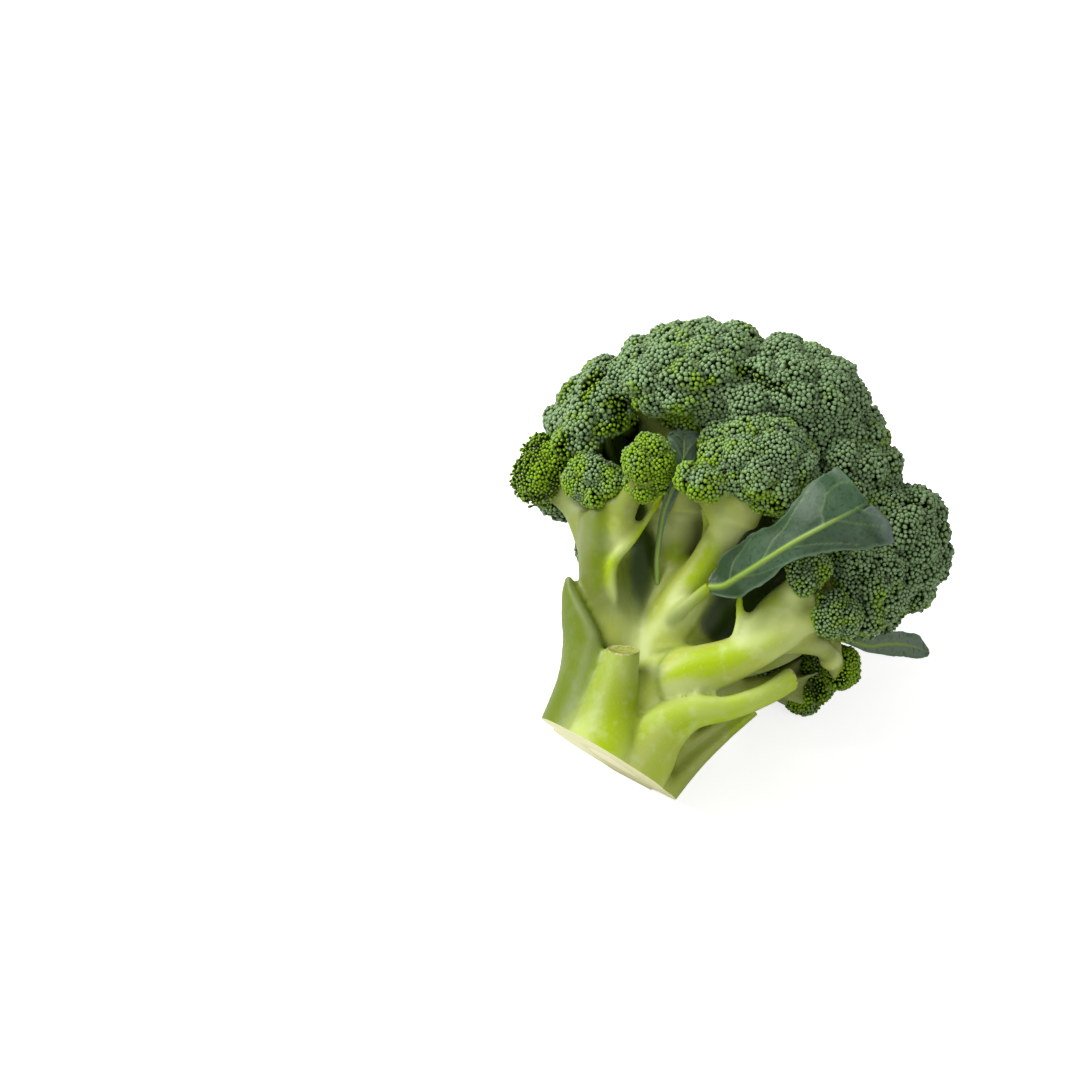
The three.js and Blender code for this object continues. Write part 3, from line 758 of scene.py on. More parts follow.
def nearestRings(points, guides):
    # each point's nearest ring of any limb, and how much nearer its limb is than the next one
    every = [(k, ring) for k, (_, _, rings) in enumerate(guides) for ring in rings]
    middles = np.array([ring["middle"] for _, ring in every], np.float32)
    sizes = np.array([(ring["wide"] + ring["thick"]) / 2 for _, ring in every], np.float32)
    owner = np.array([k for k, _ in every])
    seamed = np.isin(owner, [k for k, (kind, _, _) in enumerate(guides)
                             if kind in ("trunk", "branch", "leafStalk")])
    starts = np.unique(owner[seamed], return_index=True)[1]
    nearest, apart = np.empty(len(points), int), np.empty(len(points))
    batch = 4000
    for start in range(0, len(points), batch):
        part = points[start:start + batch].astype(np.float32)
        square = (part ** 2).sum(1)[:, None] + (middles ** 2).sum(1)[None] - 2 * part @ middles.T
        far = np.sqrt(np.maximum(square, 0)) - sizes
        nearest[start:start + batch] = far.argmin(1)
        each = np.sort(np.minimum.reduceat(far[:, seamed], starts, axis=1), axis=1)
        apart[start:start + batch] = (each[:, 1] - each[:, 0]) / mm
    found = {key: np.array([ring[key] for _, ring in every])[nearest]
             for key in ("middle", "out", "round", "along")}
    return found, sizes[nearest] / mm, owner[nearest], apart


def colourStalk(mesh, guides, knife):
    wearAndShade = stalkWearAndShade
    points = pointsOf(mesh)
    ring, half, limbs, apart = nearestRings(points, guides)
    along = ring["along"]
    kinds = np.array([kind for kind, _, _ in guides])[limbs]
    labels = np.array([label for _, label, _ in guides])[limbs]
    away = points - ring["middle"]
    turn = np.arctan2(np.einsum("ij,ij->i", away, ring["round"]), np.einsum("ij,ij->i", away, ring["out"]))
    upright = (points / mm - np.array(head["cutMiddle"])) @ np.array(headAxes)
    height = upright[:, 2]
    hollow = np.zeros(len(points), np.float32)
    mesh.attributes["hollow"].data.foreach_get("value", hollow)
    leafStalk = kinds == "leafStalk"
    # patches and streaks where the wax is worn off
    across, lengthwise, ragged = wearAndShade["patch"]
    spot = np.stack([np.cos(turn) * half / across, np.sin(turn) * half / across, along / lengthwise], 1)
    rough = waves(spot + 3.1 * limbs[:, None]) + 0.4 * waves(2.3 * spot + 1.7 * limbs[:, None])
    worn = wearAndShade["worn"]
    bright = np.where(leafStalk, worn["leafStalk"], worn["other"]) * rough - 1.2 * np.clip(hollow, 0, 0.4)
    bright += np.where(leafStalk, worn["stump"] + worn["tip"] * ramp(along, *worn["tipFrom"]), 0)
    bright += np.where(kinds == "trunk", worn["trunk"], 0)
    for label, angle, spreadOut, start, end in stalk["streaks"]:
        off = np.abs((np.degrees(turn) - angle + 180) % 360 - 180) + ragged * rough
        streak = ramp(off, spreadOut + 10, spreadOut - 10) * ramp(along + 6 * rough, start, start + 8)
        streak *= ramp(along, end + 8, end) * (labels == label)
        bright = np.maximum(bright, 1.1 * streak)
    tintAndShade = np.array([stalk["tintAndShade"].get(label, (0, 0, 0)) for _, label, _ in guides])[limbs]
    most, start, end = wearAndShade["twig"]
    bright = np.where(kinds == "twig", most * ramp(along, start, end), bright + tintAndShade[:, 0])
    # pale wax, thickest along the leaf stalks' edges
    wax = wearAndShade["bloom"]
    edge = leafStalk * ramp(np.abs(np.sin(turn)), 0.93, 1.0) * ramp(along, *wax["edgeFrom"])
    patches = ramp(waves(points / mm / wax["patch"] + 40), -0.2, 0.5)
    bloom = np.maximum(np.where(leafStalk, wax["leafStalk"], wax["other"]) * patches, wax["edge"] * edge)
    # painted shade: fine darker lines where limbs meet
    creaseShade = wearAndShade["creaseShade"]
    line = ramp(apart, *creaseShade["gap"]) * np.isin(kinds, ("branch", "leafStalk", "trunk"))
    line *= ramp(waves(points / mm / creaseShade["patch"] + 11), -0.5, 0.0)
    # painted shade: darker up between the branches under the crown, less so on the sides that get more light
    shade, deep = wearAndShade["shaded"], wearAndShade["deep"]
    facing = np.degrees(np.arctan2(upright[:, 1], upright[:, 0])) % 360
    facing = shade["least"] + (1 - shade["least"]) * ramp(facing, *shade["from"]) * ramp(facing, *shade["to"])
    most, start, end = deep["floret"]
    green = np.select([kinds == "inner", np.isin(kinds, ("floret", "fork")), kinds == "trunk"],
                      [facing * ramp(height, *deep["inner"]),
                       most * ramp(along, start, end) + deep["fork"] * (kinds == "fork"),
                       ramp(height, *deep["trunk"])], deep["other"][0] * ramp(height, *deep["other"][1:]))
    # painted shade on some limbs, from the second column of their tints
    limbShade = tintAndShade[:, 1] * ramp(along - tintAndShade[:, 2], 0, deep["toneOver"])
    green = np.where(kinds == "twig", tintAndShade[:, 1], np.maximum(green, limbShade))
    paint(mesh, "bright", blurred(mesh, ramp(bright, 0.0, 0.8), 2) * ramp(hollow, 0.5, 0.1))
    paint(mesh, "bloom", blurred(mesh, bloom, 2))
    # painted shade in hollows and along the lines where limbs meet
    paint(mesh, "creaseShade", np.maximum(creaseShade["hollow"] * ramp(hollow, 0.06, 0.25),
                                     creaseShade["line"] * blurred(mesh, line, 1)))
    # painted shade up under the crown
    paint(mesh, "deep", blurred(mesh, green, 3))
    paint(mesh, "around", turn * half)
    paint(mesh, "along", along)
    # the cut face, and the dry rims of the leaf stalks' ends
    end, centres, normals = stalk["end"], *facesOf(mesh)
    way = np.array(knife) / np.linalg.norm(knife)
    onCut = np.abs((centres - np.array(place(0, 0, 0))) @ way) < 0.05 * mm
    paintFaces(mesh, "cut", onCut & (normals @ way < -0.99))
    dry = np.zeros(len(centres))
    for label, rings in cutStalks(guides):
        middle, ahead = endOf(label, rings)
        beyond = (centres - middle) @ ahead
        near = np.linalg.norm(centres - middle, axis=1) < 1.4 * rings[-1]["wide"]
        dry[near & (beyond > -end["band"] * mm)] = 1
        dry[near & (np.abs(beyond + end["hollow"] * mm) < 0.05 * mm) & (normals @ ahead > 0.9)] = 0.55
    paintFaces(mesh, "dry", dry)


floretLook = {
    "coreVoxel": 2.1,
    "crown": {"close": 1.4, "voxel": 1.5, "spacing": 1.33, "low": -0.45, "knobs": 1.0},
    "front": {"close": 0.8, "voxel": 1.3, "spacing": 1.22, "low": -0.45, "knobs": 0.85},
    "small": {"close": 0.6, "voxel": 1.1, "spacing": 1.05, "low": -0.4, "knobs": 0.5},
    "above": 0.3,                             # the skins lie this far over the cores
    "lumps": ((15.0, 3.3), (6.5, 1.5)),       # how far apart, and how deep between them
    "crowd": 0.75,                            # two lumps may start this near, of how far apart they are
    "slope": 0.55,
    "sink": 0.7,                              # the share of a lump's depth that lies below the skin
    "candidates": 7,
    "closest": 0.84,                          # of the spacing of the buds
    "settle": 4,
    "reach": 1.12,
    "push": 0.22,
    "gaps": (0.75, 1.25),
    "touch": 1.2,                             # no buds this near a leaf or a floret of another skin
    # painted shade near a floret of another skin
    "creaseShade": 3.2,                            # darker this near a floret of another skin
}
budShape = {
    "wide": 0.59,                             # of the gap to the next buds
    "uneven": (0.1, 0.75, 1.25),
    "tall": (1.05, 0.12),
    "lift": (0.1, 0.18),
    "lean": 0.16,
    "opening": {"narrower": 0.35, "taller": 0.5, "lift": 0.5, "lean": 0.3},
    # painted light: buds paler towards the top of the head
    "paintedTopLight": (1.3, 70, 135),                   # paler between these heights
}
# how yellow each floret's buds are, and how far they have opened
youngShare = {"left_ragged": 0.95, "small_left": 0.85, "small_right": 0.6, "small_low": 0.9, "low_right": 0.7,
              "small_centre": 0.6, "front_lobe": 0.7, "small_upper_right": 0.6, "left_shoulder": 0.3,
              "front": 0.42, "right": 0.4, "front_upper": 0.25, "right_shoulder": 0.2, "front_top": 0.05}
openShare = {"left_ragged": 0.5, "front_lobe": 0.2, "left_shoulder": 0.1}
usualShare = {"young": 0.08, "open": -0.2, "broad": (15, 0.4), "fine": (4, 0.5), "opening": 7}


def budPattern():
    # one closed bud on a short stem, with a slightly four-sided top where its leaves meet
    freshStart()
    bpy.ops.mesh.primitive_uv_sphere_add(segments=5, ring_count=3, radius=1)
    bud = bpy.context.object
    points = pointsOf(bud.data)
    for point in points:
        if point[2] < -0.9:
            point[2] = -2.6
        elif point[2] > 0 and point[2] < 0.9:
            point[:] = point[0], point[1], 0.56
        elif point[2] < 0:
            point[:] = point[0] / 0.866, point[1] / 0.866, -0.16
    movePoints(bud.data, points)
    mesh = bud.data.copy()
    bpy.data.objects.remove(bud)
    return mesh


def lobesOf(data):
    return [(*data["at"], data["r"]), *data.get("lobes", [])]


def coreOf(name):
    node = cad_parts["floret_" + name]
    core = bpy.data.objects.new("floret_" + name + "_dressed", node.data.copy())
    bpy.context.collection.objects.link(core)
    pick(core)
    bpy.ops.object.mode_set(mode="EDIT")
    bpy.ops.mesh.select_all(action="SELECT")
    bpy.ops.mesh.remove_doubles(threshold=0.01 * mm)
    bpy.ops.object.mode_set(mode="OBJECT")
    parts = [core]
    for turn, out, up, radius in lobesOf(florets[name])[1:]:
        freshStart()
        bpy.ops.mesh.primitive_ico_sphere_add(subdivisions=4, radius=radius * mm,
                                              location=place(turn, out, up))
        bpy.ops.object.transform_apply(location=True)
        parts.append(bpy.context.object)
    core = joined(parts, "floret_" + name + "_dressed")
    fused(core, floretLook["coreVoxel"], 6)
    return core


def skinOver(cores, name, close, voxel):
    # one surface over many florets, with the creases between them partly filled
    copies = []
    for core in cores:
        copy = bpy.data.objects.new(name, core.data.copy())
        bpy.context.collection.objects.link(copy)
        copies.append(copy)
    skin = joined(copies, name)
    swollen(skin, close)
    fused(skin, voxel, 3)
    swollen(skin, floretLook["above"] - close)
    smoothed(skin, 2)
    return skin


def treeOf(points):
    tree = KDTree(len(points))
    for k, point in enumerate(points):
        tree.insert(point, k)
    tree.balance()
    return tree


def thinned(points, apart):
    # a subset of the points, in their order, with none nearer to another than this
    tree = treeOf(points)
    free = np.ones(len(points), bool)
    apart = np.broadcast_to(apart, len(points))
    kept = []
    for k in range(len(points)):
        if free[k]:
            kept.append(k)
            for _, other, _ in tree.find_range(points[k], apart[k]):
                free[other] = False
    return np.array(kept)


def lumpy(skin, draw, knobs):
    # the buds gather in knobs of two sizes
    mesh = skin.data
    height = np.zeros(len(mesh.vertices))
    for apart, depth in floretLook["lumps"]:
        points, normals = pointsOf(mesh), normalsOf(mesh)
        order = draw.permutation(len(points))
        centres = points[order[thinned(points[order], floretLook["crowd"] * apart * mm)]]
        tree = treeOf(centres)
        rise = np.empty(len(points))
        for k, point in enumerate(points):
            near = [far for _, _, far in tree.find_n(point, 2)]
            rise[k] = min((near[1] - near[0]) / (floretLook["slope"] * apart * mm), 1)
        rise = blurred(mesh, 1 - (1 - rise) ** 2, 1)
        height += 0.5 * rise
        step = (rise - floretLook["sink"]) * knobs * depth * mm
        movePoints(mesh, points + normals * step[:, None])
    return treeOf(pointsOf(mesh)), height


def scattered(skin, spacing, draw, allowed):
    # points spread evenly over a skin's budded side
    mesh = skin.data
    mesh.calc_loop_triangles()
    many = len(mesh.loop_triangles)
    corners = np.empty(many * 3, int)
    mesh.loop_triangles.foreach_get("vertices", corners)
    a, b, c = (pointsOf(mesh)[corners.reshape(-1, 3)[:, k]] for k in range(3))
    cross = np.cross(b - a, c - a)
    areas = np.linalg.norm(cross, axis=1) / 2
    count = int(floretLook["candidates"] * areas.sum() / (spacing * mm) ** 2)
    faces = draw.choice(many, count, p=areas / areas.sum())
    u, v = draw.random((2, count, 1))
    over = u + v > 1
    u, v = np.where(over, 1 - u, u), np.where(over, 1 - v, v)
    places = a[faces] + u * (b - a)[faces] + v * (c - a)[faces]
    owners, keep = allowed(places)
    places, owners = places[keep], owners[keep]
    kept = thinned(places, floretLook["closest"] * spacing * mm)
    return places[kept], owners[kept]


def settled(points, skin, spacing):
    # neighbours push each other apart until the buds are packed evenly
    surface = BVHTree.FromObject(skin, bpy.context.evaluated_depsgraph_get())
    spacing = floretLook["reach"] * spacing * mm
    for _ in range(floretLook["settle"]):
        tree = treeOf(points)
        near = np.array([[other for _, other, _ in tree.find_n(point, 7)] for point in points])[:, 1:]
        apart = points[:, None] - points[near]
        far = np.linalg.norm(apart, axis=2)
        push = np.clip(spacing / np.maximum(far, 1e-9) - 1, 0, 1)
        points = points + floretLook["push"] * (apart * push[..., None]).sum(1)
        found = [surface.find_nearest(point) for point in points]
        points = np.array([near for near, _, _, _ in found])
    normals = np.array([normal for _, normal, _, _ in found])
    tree = treeOf(points)
    gaps = np.array([np.mean([far for _, _, far in tree.find_n(point, 6)][1:]) for point in points])
    return points, normals, gaps


def grown(name, bud, places, normals, gaps, draw, young, opened, creviceShade):
    # every copy of the bud in one mesh, each at its own size, turn and tilt
    shape, opening = budShape, budShape["opening"]
    pattern = pointsOf(bud)
    many = len(places)
    turns = draw.random(many) * 2 * math.pi
    tilt = normals + (shape["lean"] + opening["lean"] * opened)[:, None] * draw.normal(size=(many, 3))
    tilt /= np.linalg.norm(tilt, axis=1, keepdims=True)
    aside = np.cross(tilt, np.where(np.abs(tilt[:, 2:]) < 0.9, [[0, 0, 1]], [[1, 0, 0]]))
    aside /= np.linalg.norm(aside, axis=1, keepdims=True)
    across = np.cross(tilt, aside)
    one = aside * np.cos(turns)[:, None] + across * np.sin(turns)[:, None]
    two = np.cross(tilt, one)
    uneven, least, most = shape["uneven"]
    size = shape["wide"] * gaps * (1 + uneven * draw.normal(size=many)).clip(least, most)
    size *= 1 - opening["narrower"] * opened
    tall = size * (shape["tall"][0] + shape["tall"][1] * draw.normal(size=many))
    tall *= 1 + opening["taller"] * opened
    lift = size * (shape["lift"][0] + shape["lift"][1] * draw.normal(size=many))
    lift += opening["lift"] * mm * opened * draw.normal(size=many)
    points = (places + normals * lift[:, None])[:, None]
    points = points + pattern[None, :, :1] * (one * size[:, None])[:, None]
    points = points + pattern[None, :, 1:2] * (two * size[:, None])[:, None]
    points = points + pattern[None, :, 2:] * (tilt * tall[:, None])[:, None]
    points = points.reshape(-1, 3)
    points[:, 2] = np.maximum(points[:, 2], 0)
    step = len(pattern)
    faces = [list(face.vertices) for face in bud.polygons]
    mesh = bpy.data.meshes.new(name)
    mesh.from_pydata(points.tolist(), [], [[k * step + corner for corner in face]
                                           for k in range(many) for face in faces])
    mesh.shade_smooth()
    paint(mesh, "tip", np.tile(np.clip((pattern[:, 2] + 1) / 2, 0, 1), many))
    # tone: a random tone, plus painted light that pales the buds towards the top of the head
    paintedTopLight, low, high = shape["paintedTopLight"]
    paint(mesh, "tone", np.repeat(draw.random(many) + paintedTopLight * ramp(places[:, 2] / mm, low, high), step))
    paint(mesh, "young", np.repeat(young, step))
    paint(mesh, "under", np.zeros(many * step))
    paint(mesh, "creviceShade", np.repeat(creviceShade, step))
    buds = bpy.data.objects.new(name, mesh)
    bpy.context.collection.objects.link(buds)
    return buds


def floretPiece(name, core, bud, places, normals, gaps, low, creviceShade, material, seed):
    draw = np.random.default_rng(head["seed"] + seed)
    many = len(places)
    usual = usualShare
    (broadly, broad), (finely, fine) = usual["broad"], usual["fine"]
    patches = broad * waves(places / mm / broadly + 9) + fine * waves(places / mm / finely + 70)
    young = youngShare.get(name, usual["young"]) + patches + 0.4 * low + 0.1 * draw.normal(size=many)
    opened = waves(places / mm / usual["opening"] + 30) + openShare.get(name, usual["open"])
    opened = ramp(opened, 0.35, 0.6)
    young = ramp(young + 0.5 * opened, 0.25, 1.0)
    buds = grown(name + "Buds", bud, places, normals, gaps, draw, young, opened, creviceShade)
    corePoints = pointsOf(core.data)
    middle = np.array(place(*florets[name]["at"]))
    ways = corePoints - middle
    ways /= np.linalg.norm(ways, axis=1, keepdims=True)
    depth = 0.5 + 2.0 * ramp(ways @ wayFromHeart(florets[name]["at"]), -0.6, -0.2)
    movePoints(core.data, corePoints - normalsOf(core.data) * (depth * mm)[:, None])
    # the cores get tip 0, and so the painted shade colour between the buds
    for key in ("tip", "tone", "young", "creviceShade"):
        paint(core.data, key, np.zeros(len(corePoints)))
    paint(core.data, "under", 0.8 * ramp(ways @ wayFromHeart(florets[name]["at"]), -0.3, -0.65))
    core.data.shade_smooth()
    piece = joined([core, buds], "floret_" + name + "_dressed")
    piece.data.materials.clear()
    piece.data.materials.append(material)
    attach(piece, "root")
    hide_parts("floret_" + name)


def wayFromHeart(at):
    return np.array((Vector(place(*at)) - Vector(place(*head["heart"]))).normalized())


def allFlorets(material, leafPieces):
    names = list(florets)
    cores = {name: coreOf(name) for name in names}
    print("floret cores:", len(cores))
    bud = budPattern()
    draw = np.random.default_rng(head["seed"])
    clouds = [pointsOf(cores[name].data) for name in names]
    owned = np.concatenate([[k] * len(cloud) for k, cloud in enumerate(clouds)])
    coreTree = treeOf(np.concatenate(clouds))
    # every lobe of every floret, and the floret that it belongs to
    lobes = [(k, lobe) for k, name in enumerate(names) for lobe in lobesOf(florets[name])]
    lobeOwner = np.array([k for k, _ in lobes])
    middles = np.array([place(*lobe[:3]) for _, lobe in lobes])
    radii = np.array([lobe[3] for _, lobe in lobes]) * mm
    tips = np.array([wayFromHeart(lobe[:3]) for _, lobe in lobes])
    leafSurfaces = [BVHTree.FromObject(leaf, bpy.context.evaluated_depsgraph_get()) for leaf in leafPieces]
    looks = np.array([data.get("skin", "crown" if data["r"] >= 16 else "small") for data in florets.values()])
    touch, creaseShade = floretLook["touch"] * mm, floretLook["creaseShade"] * mm

    def lowness(places, owners):
        # 0 on a lobe's outer face, 1 where it turns under
        far = np.linalg.norm(places[:, None] - middles[None], axis=2) - radii[None]
        far[owners[:, None] != lobeOwner[None]] = 1
        lobe = far.argmin(1)
        ways = places - middles[lobe]
        ways /= np.linalg.norm(ways, axis=1, keepdims=True)
        return np.einsum("ij,ij->i", ways, tips[lobe])

    def allowed(places, kind):
        group, look = np.nonzero(looks == kind)[0], floretLook[kind]
        owners = np.array([owned[coreTree.find(point)[1]] for point in places])
        lowest = np.array([data.get("low", look["low"]) for data in florets.values()])[owners]
        keep = np.isin(owners, group) & (places[:, 2] > 0) & (lowness(places, owners) > lowest)
        for k in np.nonzero(keep)[0]:
            if any(surface.find_nearest(places[k], touch)[0] for surface in leafSurfaces):
                keep[k] = False
            elif kind != "crown":
                near = [owned[other] for _, other, _ in coreTree.find_range(places[k], touch)]
                keep[k] = all(other == owners[k] or kind == looks[other] == "front" for other in near)
        return owners, keep

    total = 0
    for kind in ("crown", "front", "small"):
        group, look = np.nonzero(looks == kind)[0], floretLook[kind]
        skin = skinOver([cores[names[k]] for k in group], "skin", look["close"], look["voxel"])
        nearSkin, height = lumpy(skin, draw, look["knobs"])
        places, owners = scattered(skin, look["spacing"], draw, lambda points: allowed(points, kind))
        places, normals, gaps = settled(places, skin, look["spacing"])
        gaps = gaps.clip(*(share * look["spacing"] * mm for share in floretLook["gaps"]))
        bpy.data.objects.remove(skin)
        low = ramp(lowness(places, owners), 0.1, -0.4)
        # painted shade in the creases between knobs of buds, 1 where knobs meet
        creviceShade = 1 - np.array([height[nearSkin.find(point)[1]] for point in places])
        # painted shade where florets of different skins meet
        for k, point in enumerate(places):
            far = [gap for _, other, gap in coreTree.find_range(point, creaseShade)
                   if looks[owned[other]] != kind]
            creviceShade[k] = max(creviceShade[k], 1.1 - min(far) / creaseShade if far else 0)
        for k in group:
            mine = owners == k
            floretPiece(names[k], cores[names[k]], bud, places[mine], normals[mine], gaps[mine], low[mine],
                        creviceShade[mine], material, int(k))
        total += len(places)
        print(kind, "buds:", len(places))
    print("florets:", len(names), "with", total, "buds")


# rows from stem to tip, each with one edge, the midrib and the other edge
leaves = {
    "large": {
        "rows": [
            ((204.5, 36.4, 58.6), (206.5, 36.6, 56.6), (208.6, 36.4, 55)),
            ((204.2, 37.6, 64.2), (211.6, 40.6, 57.6), (217, 40.4, 55.4)),
            ((206.9, 44.5, 69.7), (214.7, 48.8, 60.3), (221.4, 49, 57.8)),
            ((211.4, 54.1, 73.8), (217.5, 59.2, 64.7), (222.1, 60.4, 63)),
            ((215.2, 64.8, 79.2), (220.3, 69.7, 71.3), (224.5, 70.4, 69.3)),
            ((215.5, 71.2, 88), (223.2, 77.5, 78.3), (230, 77.2, 75.2)),
            ((217.5, 72.2, 94.7), (226.3, 80.2, 85.9), (235.4, 80.1, 81.5)),
            ((219.9, 71.9, 100.2), (228.6, 81, 91.8), (239.3, 81.3, 87.7))],
        "towards": (211, 1, 0), "wave": 0.8, "thick": 0.8, "rib": 1.0, "tip": (0.3, 1.4), "fold": 0.05,
        "pale": 0, "veins": [
            [(0.71, 0), (0.73, 0.3), (0.80, 0.6), (0.92, 0.66), (1, 0.55)],
            [(0.77, 0), (0.84, -0.3), (0.92, -0.5), (0.97, -0.62)],
            [(0.42, 0), (0.5, 0.45), (0.64, 0.8), (0.74, 0.92)],
            [(0.5, 0), (0.6, -0.45), (0.7, -0.7), (0.8, -0.85)],
            [(0.2, 0), (0.28, 0.5), (0.4, 0.85)],
            [(0.28, 0), (0.38, -0.5), (0.48, -0.85)],
            [(0.92, 0), (0.96, -0.3), (0.99, -0.42)]]},
    "small": {
        "rows": [
            ((166.4, 25.4, 55.1), (167.3, 25.2, 55.4), (168.1, 25, 55.6)),
            ((165.5, 30.8, 60.3), (166.4, 30.5, 60.6), (167.3, 30.2, 60.9)),
            ((164.9, 34.9, 65.9), (165.9, 34.5, 66.3), (167, 33.9, 66.5)),
            ((164.6, 39.8, 73.5), (165.9, 39.1, 73.8), (167.4, 38.1, 73.8)),
            ((166.3, 44.4, 80.7), (168.1, 43.2, 81), (170.4, 41.8, 81.2)),
            ((168.4, 48.6, 86.7), (170.8, 47, 87), (173.3, 45.5, 87.3)),
            ((166.8, 53, 90.2), (171, 50.2, 91.4), (174.8, 48.3, 92.8)),
            ((164.9, 55.3, 94), (169.4, 52.6, 96.5), (174.2, 50.1, 98.5)),
            ((165.2, 55.8, 95.4), (169.2, 53.7, 98.5), (173.9, 51, 100.2))],
        "towards": (211, 1, 0), "wave": 0.7, "thick": 0.7, "rib": 0.6, "tip": (0.5, 0.5), "fold": 0,
        "pale": 0.4, "veins": [
            [(0.7, 0), (0.8, 0.5), (0.86, 0.9)], [(0.72, 0), (0.82, -0.5), (0.88, -0.9)],
            [(0.84, 0), (0.92, 0.5), (0.96, 0.7)]]},
    "low": {
        "rows": [
            ((295.3, 30.5, 68.8), (296, 31, 68), (296.6, 31.5, 67.2)),
            ((305.4, 41.3, 81.9), (305.8, 41.9, 81.1), (306.2, 42.4, 80.2)),
            ((313.9, 52.2, 88.2), (314.2, 53, 87.1), (314.5, 53.8, 86)),
            ((318.5, 60.4, 93.9), (318.8, 61.8, 92), (319.1, 63.1, 90.3)),
            ((322.6, 67.7, 102.8), (323, 70.2, 99.5), (323.3, 72.6, 96.4)),
            ((325.9, 77.1, 110), (326.1, 79.9, 106.4), (326.3, 82.5, 103)),
            ((327.4, 85.1, 113.8), (327.5, 87.8, 110.4), (327.6, 89.8, 107.9)),
            ((327.8, 91, 112.8), (327.7, 92.1, 111.8), (327.9, 92.5, 110.8))],
        "towards": (211, 1, 0), "wave": 0.8, "thick": 0.8, "rib": 0.8, "tip": (0, 0), "fold": 0, "pale": 0.8,
        "veins": [[(0.45, 0), (0.55, 0.5), (0.66, 0.85)], [(0.45, 0), (0.55, -0.5), (0.66, -0.85)],
                  [(0.6, 0), (0.7, 0.5), (0.82, 0.85)], [(0.6, 0), (0.7, -0.5), (0.82, -0.85)]]},
}
leafGrid = {
    "along": 112, "across": 50,
    "crowd": 1.35,                   # closer rows towards the midrib
    "waves": 5, "skew": 0.2,         # how many along an edge, and how slanted
    "fullAt": 6,                     # the half width from which an edge waves fully
    "veinHalf": 0.32, "ribStands": 0.8, "veinStands": 0.2,
    "cup": 0.07,
    "ripple": (0.25, 4),             # how high, and how long
    "ragged": (0.35, 1.6),
    "curl": (1.2, 0.7, 1.8),         # a folded tip: its height, and its ripples' height and length
}


def nearLine(points, line):
    # how far each point is from a line of corners, all in the plane
    far = np.full(len(points), 1e9)
    for start, end in zip(line, line[1:]):
        way = end - start
        share = np.clip(((points - start) @ way) / (way @ way), 0, 1)
        far = np.minimum(far, np.linalg.norm(points - start - share[:, None] * way, axis=1))
    return far


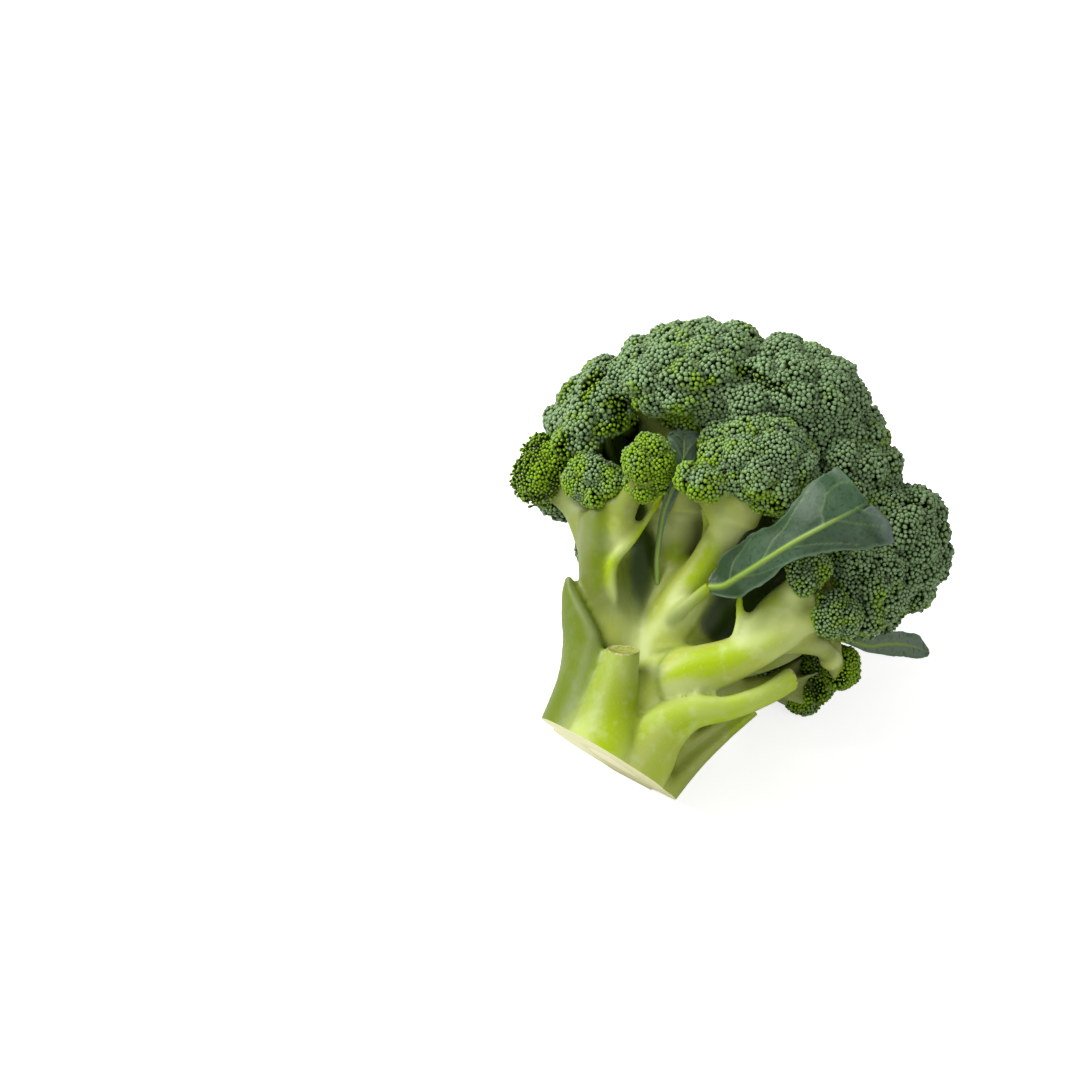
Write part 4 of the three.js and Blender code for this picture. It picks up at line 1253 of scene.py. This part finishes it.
def leafPiece(name, material):
    data, grid = leaves[name], leafGrid
    freshStart()
    bpy.ops.mesh.primitive_grid_add(x_subdivisions=grid["along"], y_subdivisions=grid["across"], size=1)
    piece = bpy.context.object
    flat = pointsOf(piece.data)
    t = np.clip(flat[:, 0] + 0.5, 0, 1)
    s = np.copysign(np.abs(2 * flat[:, 1]) ** grid["crowd"], flat[:, 1])
    lines = [[np.array(place(*row[k])) for row in data["rows"]] for k in range(3)]
    steps = np.unique(t)
    found = {step: [onRoute(line, step) for line in lines] for step in steps}
    upper, middle, lower = (np.array([found[step][k] for step in t]) for k in range(3))
    ahead = np.array([onRoute(lines[1], min(step + 1e-3, 1)) - onRoute(lines[1], max(step - 1e-3, 0))
                      for step in steps])
    ahead = (ahead / np.linalg.norm(ahead, axis=1, keepdims=True))[np.searchsorted(steps, t)]
    normal = np.cross(ahead, upper - lower)
    normal /= np.linalg.norm(normal, axis=1, keepdims=True)
    normal *= np.sign(normal @ np.array(wayOut(*data["towards"])))[:, None]
    half = np.linalg.norm(np.where(s[:, None] > 0, upper, lower) - middle, axis=1) / mm
    length = sum(np.linalg.norm(q - p) for p, q in zip(lines[1], lines[1][1:])) / mm
    wide = np.abs(s)
    # veins and the midrib stand out a little, and the blade between them swells
    sheet = np.stack([t * length, s * half.max()], 1)
    far = np.min([nearLine(sheet, np.array(line) * (length, half.max())) for line in data["veins"]], axis=0)
    vein = np.exp(-(far / grid["veinHalf"]) ** 2) * np.clip(half / 4, 0, 1)
    ribHalf = data["rib"] * (1 - 0.7 * t)
    rib = np.exp(-(wide * half / ribHalf) ** 2)
    lift = data["wave"] * s * s * np.minimum(half / grid["fullAt"], 1)
    lift *= np.sin(2 * math.pi * (grid["waves"] * t + grid["skew"] * s))
    lift += grid["ribStands"] * ribHalf * rib + grid["veinStands"] * vein
    lift += grid["cup"] * half * 4 * wide * (1 - wide)
    high, long = grid["ripple"]
    lift += high * waves(sheet / long) * ramp(half, 2, 6) * ramp(wide * half, 0.5, 3)
    beyond = np.where(s > 0, data["tip"][0], data["tip"][1]) * np.sin(math.pi * wide) * ramp(t, 0.85, 1)
    lean = ramp(t, 1 - 2 * data["fold"], 1) * (s < -0.1) if data["fold"] else np.zeros(len(t))
    curl, high, long = grid["curl"]
    lift += lean * (curl + high * waves(sheet / long + 5))
    points = middle + wide[:, None] * (np.where(s[:, None] > 0, upper, lower) - middle)
    points += normal * (lift * mm)[:, None] + ahead * (beyond * mm)[:, None]
    high, long = grid["ragged"]
    rough = high * waves(np.stack([t * length / long, s], 1)) * ramp(wide, 0.85, 1) * ramp(half, 3, 6)
    points += (upper - lower) / np.linalg.norm(upper - lower, axis=1, keepdims=True) * (rough * mm)[:, None]
    movePoints(piece.data, points)
    paint(piece.data, "vein", 0.55 * vein)
    paint(piece.data, "rib", rib * ramp(t, 1.05, 0.6))
    paint(piece.data, "edge", np.maximum(ramp(wide * half, half - 1.2, half), 0.6 * ramp(t, 0.985, 1)))
    paint(piece.data, "fold", lean)
    # paler per leaf: a greyer leaf, partly painted light that lifts the low leaf, which lies in shade
    paint(piece.data, "pale", np.full(len(t), data["pale"]))
    finishWith(piece, "SOLIDIFY", thickness=data["thick"] * mm, offset=0)
    piece.name = "leaf_" + name + "_dressed"
    points = pointsOf(piece.data)
    points[:, 2] = np.maximum(points[:, 2], 0)
    movePoints(piece.data, points)
    pick(piece)
    bpy.ops.object.shade_smooth()
    piece.data.materials.append(material)
    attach(piece, "root")
    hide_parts("leaf_" + name)
    return piece


stalkDone = stalkPiece(stalkMaterial())
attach(stalkDone, "root")
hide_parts("stalk")
print("stalk:", len(stalkDone.data.polygons), "faces")

leafGreen = leafMaterial()
leafPieces = [leafPiece(name, leafGreen) for name in leaves]
print("leaves:", len(leafPieces))
allFlorets(budMaterial(), leafPieces)


studio = {
    "floor": linear(215, 215, 213),
    "floorSize": 12.0,
    "floorGlow": 0.75,
    "worldStrength": 0.38,
    "lights": {
        "keyLight": ((-0.42, 0.9, 1.2), 1.1, 41),
        "frontLight": ((-0.6, -1.15, 0.5), 0.9, 6),
        "lowLight": ((-1.3, -0.3, 0.15), 0.7, 3),
    },
}
view = {"azimuth": -56, "elevation": 30, "far": 900, "lens": 87, "aimsAt": (0, 0, 97),
        "aside": 205, "below": 10, "focal": 2610}       # these three in pixels


def floorPiece():
    freshStart()
    bpy.ops.mesh.primitive_plane_add(size=studio["floorSize"])
    floor = bpy.context.object
    floor.name = "floor"
    material, tree, shader = newMaterial("paleFloor", {"Roughness": 0.6})
    shader.inputs["Base Color"].default_value = (*studio["floor"], 1)
    shader.inputs["Emission Color"].default_value = (1, 1, 1, 1)
    seen = added(tree, "ShaderNodeLightPath").outputs["Is Camera Ray"]
    link(tree, worked(tree, "MULTIPLY", seen, studio["floorGlow"]), shader.inputs["Emission Strength"])
    floor.data.materials.append(material)


def softLight(name, at, size, power):
    freshStart()
    bpy.ops.object.light_add(type="AREA", location=at)
    lamp = bpy.context.object
    lamp.name = name
    lamp.data.size = size
    lamp.data.energy = power
    lamp.rotation_euler = (Vector((0, 0, 0.06)) - Vector(at)).to_track_quat("-Z", "Y").to_euler()


def cameraPiece():
    turn, rise = math.radians(view["azimuth"]), math.radians(view["elevation"])
    look = Vector((-math.sin(turn) * math.cos(rise), math.cos(turn) * math.cos(rise), -math.sin(rise)))
    right = Vector((math.cos(turn), math.sin(turn), 0))
    up = right.cross(look)
    middle = Vector(place(*view["aimsAt"]))
    # far away, and moved aside so that the head sits right of the middle
    at = middle - look * view["far"] * mm
    at -= right * view["aside"] / view["focal"] * view["far"] * mm
    at -= up * view["below"] / view["focal"] * view["far"] * mm
    freshStart()
    bpy.ops.object.camera_add(location=at)
    camera = bpy.context.object
    camera.data.lens = view["lens"]
    camera.data.sensor_width = 36
    camera.rotation_euler = Matrix((right, up, -look)).transposed().to_euler()
    camera.data.clip_start = 0.05
    camera.data.clip_end = 50
    bpy.context.scene.camera = camera


floorPiece()
for lightName, (lightAt, lightSize, lightPower) in studio["lights"].items():
    softLight(lightName, lightAt, lightSize, lightPower)
world = bpy.data.worlds.new("studio")
world.use_nodes = True
world.node_tree.nodes["Background"].inputs["Color"].default_value = (1, 1, 1, 1)
world.node_tree.nodes["Background"].inputs["Strength"].default_value = studio["worldStrength"]
bpy.context.scene.world = world
bpy.context.scene.view_settings.view_transform = "Standard"
cameraPiece()
print("studio set")
